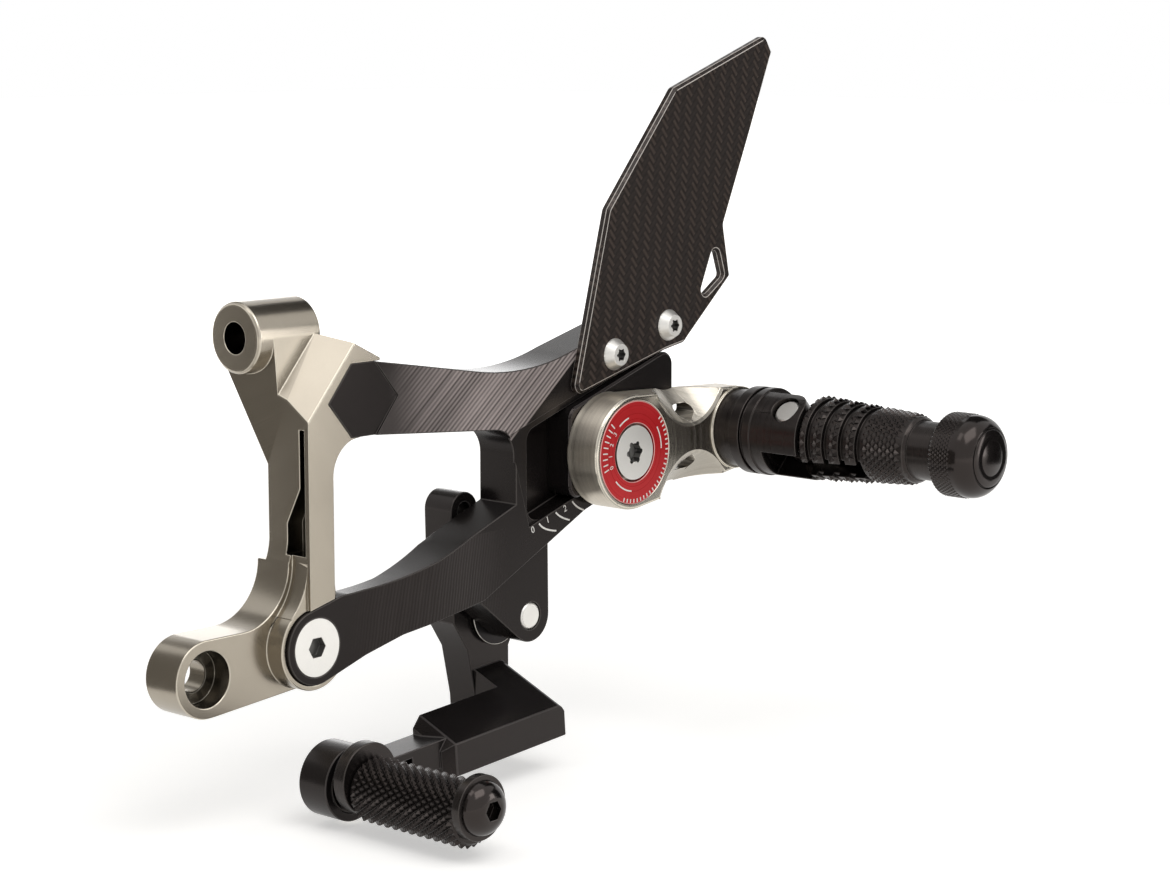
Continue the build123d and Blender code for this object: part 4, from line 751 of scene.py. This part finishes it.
def newShapeTree(name, inputs):
    tree = bpy.data.node_groups.new(name, "GeometryNodeTree")
    tree.interface.new_socket("Geometry", in_out="INPUT", socket_type="NodeSocketGeometry")
    for label, kind in inputs:
        tree.interface.new_socket(label, in_out="INPUT", socket_type="NodeSocket" + kind)
    tree.interface.new_socket("Geometry", in_out="OUTPUT", socket_type="NodeSocketGeometry")
    return tree, tree.nodes.new("NodeGroupInput").outputs, tree.nodes.new("NodeGroupOutput").inputs


def endShapeTree(tree, given, put, copies):
    join = tree.nodes.new("GeometryNodeJoinGeometry")
    tree.links.new(copies, join.inputs[0])
    tree.links.new(given["Geometry"], join.inputs[0])
    whole = shapeNode(tree, "RealizeInstances", {"Geometry": join.outputs[0]})
    coated = shapeNode(tree, "SetMaterial", {"Geometry": whole, "Material": given["Finish"]})
    tree.links.new(coated, put["Geometry"])


def spokeVector(tree, angle):
    return joinAxes(tree, {"X": calc(tree, "COSINE", angle), "Z": calc(tree, "SINE", angle)})


def standUp(tree, upward, sideways):
    return addNode(tree, "FunctionNodeAxesToRotation", {"Primary Axis": upward, "Secondary Axis": sideways},
                   primary_axis="Z", secondary_axis="X").outputs[0]


def makeKnurlBand():
    tree, given, put = newShapeTree("knurlBand", [
        ("Middle", "Vector"), ("Around", "Int"), ("Rows", "Int"), ("Start", "Float"), ("Pitch", "Float"),
        ("Radius", "Float"), ("Taper", "Float"), ("Half Length", "Float"), ("Height", "Float"),
        ("Slot", "Vector"), ("Slot Half", "Float"), ("Slot End", "Float"), ("Finish", "Material")])
    index = shapeNode(tree, "InputIndex")
    row = calc(tree, "FLOOR", calc(tree, "DIVIDE", calc(tree, "ADD", index, 0.5), given["Around"]))
    column = calc(tree, "SUBTRACT", index, calc(tree, "MULTIPLY", row, given["Around"]))
    stagger = calc(tree, "MULTIPLY_ADD", calc(tree, "FLOORED_MODULO", row, 2.0), 0.5, column)
    step = calc(tree, "DIVIDE", fullTurn, given["Around"])
    spoke = spokeVector(tree, calc(tree, "MULTIPLY", stagger, step))
    run = calc(tree, "MULTIPLY", row, given["Pitch"])
    radius = calc(tree, "MULTIPLY_ADD", run, given["Taper"], given["Radius"])
    out = calc(tree, "ADD", given["Start"], run)
    drop = joinAxes(tree, {"Y": calc(tree, "MULTIPLY", out, -1.0)})
    reach = scaleVector(tree, spoke, radius)
    place = calcVector(tree, "ADD", calcVector(tree, "ADD", reach, drop), given["Middle"])
    count = calc(tree, "MULTIPLY", given["Around"], given["Rows"])
    points = shapeNode(tree, "Points", {"Count": count, "Position": place})
    # no tooth over the spring's slot
    ahead = calcVector(tree, "DOT_PRODUCT", reach, given["Slot"])
    aside = calcVector(tree, "LENGTH", calcVector(tree, "CROSS_PRODUCT", reach, given["Slot"]))
    within = calc(tree, "MULTIPLY", calc(tree, "GREATER_THAN", ahead, 0.0),
                  calc(tree, "LESS_THAN", aside, given["Slot Half"]))
    inSlot = calc(tree, "MULTIPLY", within, calc(tree, "LESS_THAN", out, given["Slot End"]))
    kept = shapeNode(tree, "DeleteGeometry", {"Geometry": points, "Selection": inSlot}, domain="POINT")
    halfWide = calc(tree, "MULTIPLY", calc(tree, "MULTIPLY", step, 0.5), radius)
    size = joinAxes(tree, {"X": given["Half Length"], "Y": halfWide, "Z": given["Height"]})
    turn = standUp(tree, spoke, (0, -1, 0))
    notes = []
    for name, kind, value in zip(toothNotes, ("QUATERNION", "FLOAT_VECTOR"), (turn, size)):
        note = {"Geometry": kept, "Name": name, "Value": value}
        kept = shapeNode(tree, "StoreNamedAttribute", note, data_type=kind, domain="POINT")
        notes.append(shapeNode(tree, "InputNamedAttribute", {"Name": name}, data_type=kind))
    tooth = shapeNode(tree, "MeshCone", {
        "Vertices": toothLook["sides"], "Radius Top": toothLook["top"], "Radius Bottom": 1.0, "Depth": 1.0,
    }, fill_type="NGON")
    tooth = shapeNode(tree, "SetShadeSmooth", {"Geometry": tooth, "Shade Smooth": False})
    copies = shapeNode(tree, "InstanceOnPoints", {
        "Points": kept, "Instance": tooth, "Rotation": notes[0], "Scale": notes[1]})
    endShapeTree(tree, given, put, copies)
    return tree


def makeDialTicks():
    tree, given, put = newShapeTree("dialTicks", [
        ("Middle", "Vector"), ("Count", "Int"), ("First", "Float"), ("Step", "Float"), ("Radius", "Float"),
        ("Size", "Vector"), ("Finish", "Material")])
    index = shapeNode(tree, "InputIndex")
    spoke = spokeVector(tree, calc(tree, "MULTIPLY_ADD", index, given["Step"], given["First"]))
    place = calcVector(tree, "ADD", scaleVector(tree, spoke, given["Radius"]), given["Middle"])
    points = shapeNode(tree, "Points", {"Count": given["Count"], "Position": place})
    tick = shapeNode(tree, "MeshCube", {"Size": given["Size"]})
    copies = shapeNode(tree, "InstanceOnPoints", {
        "Points": points, "Instance": tick, "Rotation": standUp(tree, (0, -1, 0), spoke)})
    endShapeTree(tree, given, put, copies)
    return tree


knurlBand = makeKnurlBand()
dialTicks = makeDialTicks()


def growShape(piece, tree, settings):
    grow = piece.modifiers.new(tree.name, "NODES")
    grow.node_group = tree
    names = {item.name: item.identifier for item in tree.interface.items_tree if item.in_out == "INPUT"}
    for label, value in settings.items():
        grow[names[label]] = value


def growKnurl(piece, middle, finish, settings):
    plain = {"Middle": (middle.x, 0.0, middle.z), "Taper": 0.0, "Slot": (0.0, 0.0, 0.0), "Slot Half": 0.0,
             "Slot End": 0.0, "Finish": finish}
    growShape(piece, knurlBand, {**plain, **settings})


def finishPiece(piece, host, *replaced):
    plainMesh(piece)
    for spare in toothNotes:
        if spare in piece.data.attributes:
            piece.data.attributes.remove(piece.data.attributes[spare])
    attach(piece, nodes[host]["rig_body"])
    if replaced:
        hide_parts(*replaced)


def emptyPiece(name, finish):
    mesh = bpy.data.meshes.new(name)
    mesh.materials.append(finish)
    return newPiece(name, mesh)


def lathe(name, profile, middle, sides, finish, hollow=True):
    # a hollow profile is a closed loop; the ends of any other one meet on the axis
    shape = bmesh.new()
    rings = []
    for side in range(sides):
        alongX, alongZ = math.cos(fullTurn * side / sides), math.sin(fullTurn * side / sides)
        rings.append([shape.verts.new((middle.x + radius * alongX, -out, middle.z + radius * alongZ))
                      for out, radius in profile])
    steps = len(profile) if hollow else len(profile) - 1
    for ring, after in zip(rings, rings[1:] + rings[:1]):
        for k in range(steps):
            follow = (k + 1) % len(profile)
            shape.faces.new((ring[k], ring[follow], after[follow], after[k]))
    bmesh.ops.remove_doubles(shape, verts=shape.verts, dist=edgeRules["merge"])
    bmesh.ops.recalc_face_normals(shape, faces=shape.faces)
    mesh = bpy.data.meshes.new(name)
    shape.to_mesh(mesh)
    shape.free()
    mesh.materials.append(finish)
    return mesh


# knurled bands of the foot peg and of its end weight, measured outboard from the frame's plane

pegBands = {
    "barrelFrom": 68.75 * mm, "barrelRadius": 12.0 * mm, "sink": 0.15 * mm,
    "bands": ((70.1, 1), (74.5, 2), (80.1, 2), (85.7, 2), (91.5, 9)),   # first row in millimetres, rows
    "teeth": {"Around": 30, "Pitch": 1.3 * mm, "Taper": -2.4 / 36, "Half Length": 1.35 * mm,
              "Height": 0.75 * mm, "Slot": (-math.sqrt(0.5), 0.0, -math.sqrt(0.5)),
              "Slot Half": 3.9 * mm, "Slot End": 89.8 * mm},
}
capTeeth = {"Around": 60, "Rows": 8, "Start": 115.3 * mm, "Pitch": 0.8 * mm, "Half Length": 0.8 * mm,
            "Radius": 11.72 * mm, "Height": 0.34 * mm}


def addPegKnurl():
    look = pegBands
    teeth = look["teeth"]
    piece = emptyPiece("foot_peg_knurl", finishes["pegFinish"])
    for first, rows in look["bands"]:
        start = first * mm
        radius = look["barrelRadius"] + (start - look["barrelFrom"]) * teeth["Taper"] - look["sink"]
        growKnurl(piece, pegMiddle, finishes["pegFinish"],
                  {**teeth, "Rows": rows, "Start": start, "Radius": radius})
    finishPiece(piece, "foot_peg")


def addCapKnurl():
    piece = emptyPiece("peg_end_cap_knurl", finishes["capFinish"])
    growKnurl(piece, pegMiddle, finishes["capFinish"], capTeeth)
    finishPiece(piece, "peg_end_cap")


# low crown on the end weight, so that its face is not flat

capCrown = {"from": 128.0 * mm, "radius": 6.0 * mm, "rise": 0.8 * mm, "root": 0.3 * mm,
            "steps": 8, "sides": 64}


def addCapCrown():
    look = capCrown
    ball = (look["radius"] ** 2 + look["rise"] ** 2) / (2 * look["rise"])
    spread = math.asin(look["radius"] / ball)
    profile = [(look["from"] - look["root"], 0.0), (look["from"] - look["root"], look["radius"])]
    for k in range(look["steps"] + 1):
        turn = spread * (1 - k / look["steps"])
        out = look["from"] + look["rise"] - ball * (1 - math.cos(turn))
        profile.append((out, ball * math.sin(turn)))
    mesh = lathe("capCrown", profile, pegMiddle, look["sides"], finishes["capFinish"], hollow=False)
    mesh.shade_smooth()
    finishPiece(newPiece("peg_end_cap_crown", mesh), "peg_end_cap")


# toe sleeve: a smaller core under staggered teeth whose tips reach the CAD radius

toeSleeve = {
    "from": 32.9 * mm, "to": 71.9 * mm, "bore": 3.05 * mm, "core": 7.9 * mm, "chamfer": 0.6 * mm,
    "sides": 96, "height": 1.1 * mm, "sink": 0.08 * mm,
    "teeth": {"Around": 24, "Rows": 24, "Start": 34.9 * mm, "Pitch": 1.53 * mm, "Half Length": 1.5 * mm},
}


def addToeSleeve():
    look = toeSleeve
    finish = finishes["toeFinish"]
    near, far, bore, core, cut = (look[key] for key in ("from", "to", "bore", "core", "chamfer"))
    profile = [(near, bore), (far, bore), (far, core - cut), (far - cut, core), (near + cut, core),
               (near, core - cut)]
    mesh = lathe("toeSleeve", profile, toeMiddle, look["sides"], finish)
    piece = newPiece("toe_peg_sleeve_knurled", mesh)
    growKnurl(piece, toeMiddle, finish, {
        **look["teeth"], "Radius": core - look["sink"], "Height": look["height"] + look["sink"]})
    finishPiece(piece, "toe_peg_sleeve", "toe_peg_sleeve")


# white marks: ticks, arcs and plain figures, a little proud of the faces they stand on

markSteps = 12   # straight steps in an arc
ringMarks = {
    "face": 36.9 * mm, "thick": 0.1 * mm,
    "ticks": (   # radius, length, width in millimetres, first and last angle in degrees, count
        (14.1, 1.1, 0.42, 40, -110, 26),
        (12.9, 2.0, 0.36, 138, 198, 9),
    ),
    "arcs": ((10.7, 105, 129), (11.6, 0, 34), (11.2, 222, 262)), "arcWidth": 0.42 * mm,
    "figures": (("0", 198), ("1", 180), ("2", 162), ("3", 144)),
    "figureRadius": 10.6 * mm, "figureSize": 2.1 * mm,
}
plateMarks = {
    "face": 23.4 * mm, "thick": 0.1 * mm, "size": 2.8 * mm, "lean": 18.0, "width": 0.5 * mm,
    "figures": (("0", 111.8, 25.55), ("1", 118.05, 27.6), ("2", 125.4, 29.95)),
    "arcs": (((114.4, 27.1), (117.0, 25.2), (121.6, 24.0)), ((121.4, 29.4), (123.8, 27.7), (127.3, 26.4)),
             ((128.5, 31.7), (130.6, 29.8), (133.5, 28.5))),
}


def addFigure(shape, sign, size, thick, place, lean):
    curve = bpy.data.curves.new("figure", "FONT")
    curve.body = sign
    curve.size = size
    curve.align_x = "CENTER"
    curve.align_y = "CENTER"
    curve.extrude = thick / 2
    holder = newPiece("figure", curve)
    mesh = seenMesh(holder)
    bpy.data.objects.remove(holder)
    mesh.transform(Matrix.Translation(place) @ Matrix.Rotation(math.radians(-lean), 4, "Y")
                   @ Matrix.Rotation(math.pi / 2, 4, "X"))
    shape.from_mesh(mesh)


def addStroke(shape, line, width, face, thick):
    # a closed ribbon along a line of x and z, lying on the face
    rings = []
    for k, (x, z) in enumerate(line):
        before, after = line[max(k - 1, 0)], line[min(k + 1, len(line) - 1)]
        run = Vector((after[0] - before[0], after[1] - before[1])).normalized()
        aside = Vector((-run.y, run.x)) * width / 2
        ring = []
        for side, out in ((1, thick / 2), (-1, thick / 2), (-1, -thick / 2), (1, -thick / 2)):
            ring.append(shape.verts.new((x + side * aside.x, -face - out, z + side * aside.y)))
        rings.append(ring)
    for first, second in zip(rings, rings[1:]):
        for k in range(4):
            shape.faces.new((first[k], first[(k + 1) % 4], second[(k + 1) % 4], second[k]))
    shape.faces.new(rings[0][::-1])
    shape.faces.new(rings[-1])


def addMarks(name, host, draw, ticks):
    shape = bmesh.new()
    draw(shape)
    bmesh.ops.recalc_face_normals(shape, faces=shape.faces)
    mesh = bpy.data.meshes.new(name)
    shape.to_mesh(mesh)
    shape.free()
    mesh.materials.clear()
    mesh.materials.append(finishes["whitePaint"])
    piece = newPiece(name, mesh)
    for settings in ticks:
        growShape(piece, dialTicks, settings)
    finishPiece(piece, host)


def drawRing(shape):
    look = ringMarks
    for radius, first, last in look["arcs"]:
        line = []
        for k in range(markSteps + 1):
            turn = math.radians(first + (last - first) * k / markSteps)
            line.append((hubMiddle.x + radius * mm * math.cos(turn),
                         hubMiddle.z + radius * mm * math.sin(turn)))
        addStroke(shape, line, look["arcWidth"], look["face"], look["thick"])
    for sign, angle in look["figures"]:
        spoke = Vector((math.cos(math.radians(angle)), 0, math.sin(math.radians(angle))))
        place = Vector((hubMiddle.x, -look["face"], hubMiddle.z)) + spoke * look["figureRadius"]
        addFigure(shape, sign, look["figureSize"], look["thick"], place, angle - 90)


def drawPlate(shape):
    look = plateMarks
    for sign, x, z in look["figures"]:
        place = Vector((x * mm, -look["face"], z * mm))
        addFigure(shape, sign, look["size"], look["thick"], place, look["lean"])
    for spots in look["arcs"]:
        start, middle, end = (Vector(spot) * mm for spot in spots)
        pull = 2 * middle - (start + end) / 2   # so that the curve passes through the middle
        line = []
        for k in range(markSteps + 1):
            part = k / markSteps
            line.append((1 - part) ** 2 * start + 2 * part * (1 - part) * pull + part ** 2 * end)
        addStroke(shape, line, look["width"], look["face"], look["thick"])


def ringTicks():
    look = ringMarks
    settings = []
    for radius, length, width, first, last, count in look["ticks"]:
        settings.append({
            "Middle": (hubMiddle.x, -look["face"], hubMiddle.z), "Count": count, "First": math.radians(first),
            "Step": math.radians((last - first) / (count - 1)), "Radius": radius * mm,
            "Size": (length * mm, width * mm, look["thick"]), "Finish": finishes["whitePaint"]})
    return settings


addPegKnurl()
addCapKnurl()
addCapCrown()
addToeSleeve()
addMarks("index_ring_marks", "index_ring", drawRing, ringTicks())
addMarks("wishbone_plate_marks", "wishbone_plate", drawPlate, [])
print("knurls and marks made")


# camera at the photograph's station, turned to the middle of the footrest

cameraLook = {"station": (-449.56, -551.05, 168.35), "aim": (126.69, -30.0, 50.82),   # in millimetres
              "lens": 84.4, "sensor": 36.0, "near": 10.0 * mm}


def addCamera():
    look = cameraLook
    data = bpy.data.cameras.new("photoCamera")
    data.lens = look["lens"]
    data.sensor_width = look["sensor"]
    data.clip_start = look["near"]
    camera = bpy.data.objects.new("photoCamera", data)
    camera.location = Vector(look["station"]) * mm
    sight = (Vector(look["aim"]) - Vector(look["station"])).normalized()
    camera.rotation_euler = sight.to_track_quat("-Z", "Y").to_euler()
    scene.collection.objects.link(camera)
    scene.camera = camera


lightMiddle = Vector((115.0, -40.0, 45.0)) * mm
softboxes = {   # distances and sizes in metres
    "keyBox": {"from": (-0.16, -0.55, 0.83), "away": 1.3, "size": (1.0, 0.8), "level": 2.6},
    "sideBox": {"from": (0.60, -0.80, 0.02), "away": 1.3, "size": (0.34, 0.9), "level": 3.4},
    "backBox": {"from": (0.6, 0.75, 0.16), "away": 1.4, "size": (0.8, 0.4), "level": 1.5},
    "facetBox": {"from": (-0.49, 0.07, 0.87), "away": 1.3, "size": (0.45, 0.45), "level": 1.7},
}
flags = {   # dark cloths seen only in mirrored rays; each stands at a spot in millimetres
    "strutFlag": {"at": (-118.7, 10.4, 45.0), "from": (-0.702, 0.712, 0.0), "size": (0.238, 0.2),
                  "tone": 0.24},
    "topFlag": {"at": (727.0, 95.0, 692.0), "from": (0.68, 0.15, 0.72), "size": (0.6, 0.6), "tone": 0.02},
    "backFlag": {"at": (271.0, 541.0, 714.0), "from": (0.173, 0.646, 0.743), "size": (0.5, 0.45),
                 "tone": 0.2},
    "armFlag": {"at": (526.0, -325.0, 45.0), "from": (0.822, -0.570, 0.0), "size": (0.30, 0.5), "tone": 0.0},
}
flagCloth = {"colour": (0.012, 0.011, 0.01, 1), "glow": (1.0, 0.95, 0.88, 1), "roughness": 1.0}
floorLook = {
    "margin": 0.1 * mm, "reach": 6.0, "colour": (0.9, 0.89, 0.87, 1), "roughness": 0.9, "gloss": 0.1,
    "glow": (1.0, 0.995, 0.985, 1),
    "lift": (0.35, 1.2, 0.42, 1.0),   # metres from the middle, and the glow there
}
worldLook = {"colour": (1, 1, 1, 1), "lit": 0.45, "seen": 1.0}   # strength for light, and for what is seen


def faceMiddle(thing, direction, spot):
    thing.location = spot
    thing.rotation_euler = (-Vector(direction)).to_track_quat("-Z", "Y").to_euler()


def addSoftbox(name, look):
    data = bpy.data.lights.new(name, "AREA")
    data.shape = "RECTANGLE"
    data.size, data.size_y = look["size"]
    data.energy = look["level"] * math.pi * data.size * data.size_y
    box = bpy.data.objects.new(name, data)
    faceMiddle(box, look["from"], lightMiddle + Vector(look["from"]).normalized() * look["away"])
    scene.collection.objects.link(box)


def addSheet(name, halfWide, halfHigh, level, material):
    mesh = bpy.data.meshes.new(name)
    mesh.from_pydata([(-halfWide, -halfHigh, level), (halfWide, -halfHigh, level),
                      (halfWide, halfHigh, level), (-halfWide, halfHigh, level)], [], [(0, 1, 2, 3)])
    mesh.materials.append(material)
    return newPiece(name, mesh)


def addFlag(name, look):
    material = newFinish(name + "Cloth", {
        "Base Color": flagCloth["colour"], "Roughness": flagCloth["roughness"], "Specular IOR Level": 0.0,
        "Emission Color": flagCloth["glow"], "Emission Strength": look["tone"]})[0]
    flag = addSheet(name, look["size"][0] / 2, look["size"][1] / 2, 0.0, material)
    faceMiddle(flag, look["from"], Vector(look["at"]) * mm)
    flag.visible_camera = False
    flag.visible_diffuse = False
    flag.visible_shadow = False


def seenDirectly(tree):
    path = tree.nodes.new("ShaderNodeLightPath").outputs
    mirrored = calc(tree, "MAXIMUM", path["Is Glossy Ray"], path["Is Transmission Ray"])
    return calc(tree, "MAXIMUM", path["Is Camera Ray"], mirrored)


def addFloor():
    look = floorLook
    low = min(cadBox[0][2], cadBox[1][2]) - look["margin"]
    material, tree, shader, spot = newFinish("floorPaper", {
        "Base Color": look["colour"], "Roughness": look["roughness"], "Specular IOR Level": look["gloss"],
        "Emission Color": look["glow"]})
    away = calcVector(tree, "LENGTH", calcVector(tree, "SUBTRACT", spot["Object"], lightMiddle))
    glow = calc(tree, "MULTIPLY", seenDirectly(tree), rangeMap(tree, away, *look["lift"]))
    tree.links.new(glow, shader.inputs["Emission Strength"])
    addSheet("floor", look["reach"], look["reach"], low, material)


def addWorld():
    look = worldLook
    world = bpy.data.worlds.new("studio")
    scene.world = world
    world.use_nodes = True
    tree = world.node_tree
    tree.nodes.clear()
    strength = calc(tree, "MULTIPLY_ADD", seenDirectly(tree), look["seen"] - look["lit"], look["lit"])
    back = addNode(tree, "ShaderNodeBackground", {"Color": look["colour"], "Strength": strength})
    tree.links.new(back.outputs[0], tree.nodes.new("ShaderNodeOutputWorld").inputs["Surface"])


addCamera()
addWorld()
for boxName, boxLook in softboxes.items():
    addSoftbox(boxName, boxLook)
for flagName, flagLook in flags.items():
    addFlag(flagName, flagLook)
addFloor()
scene.view_settings.view_transform = "Standard"
print("camera, floor and light set")
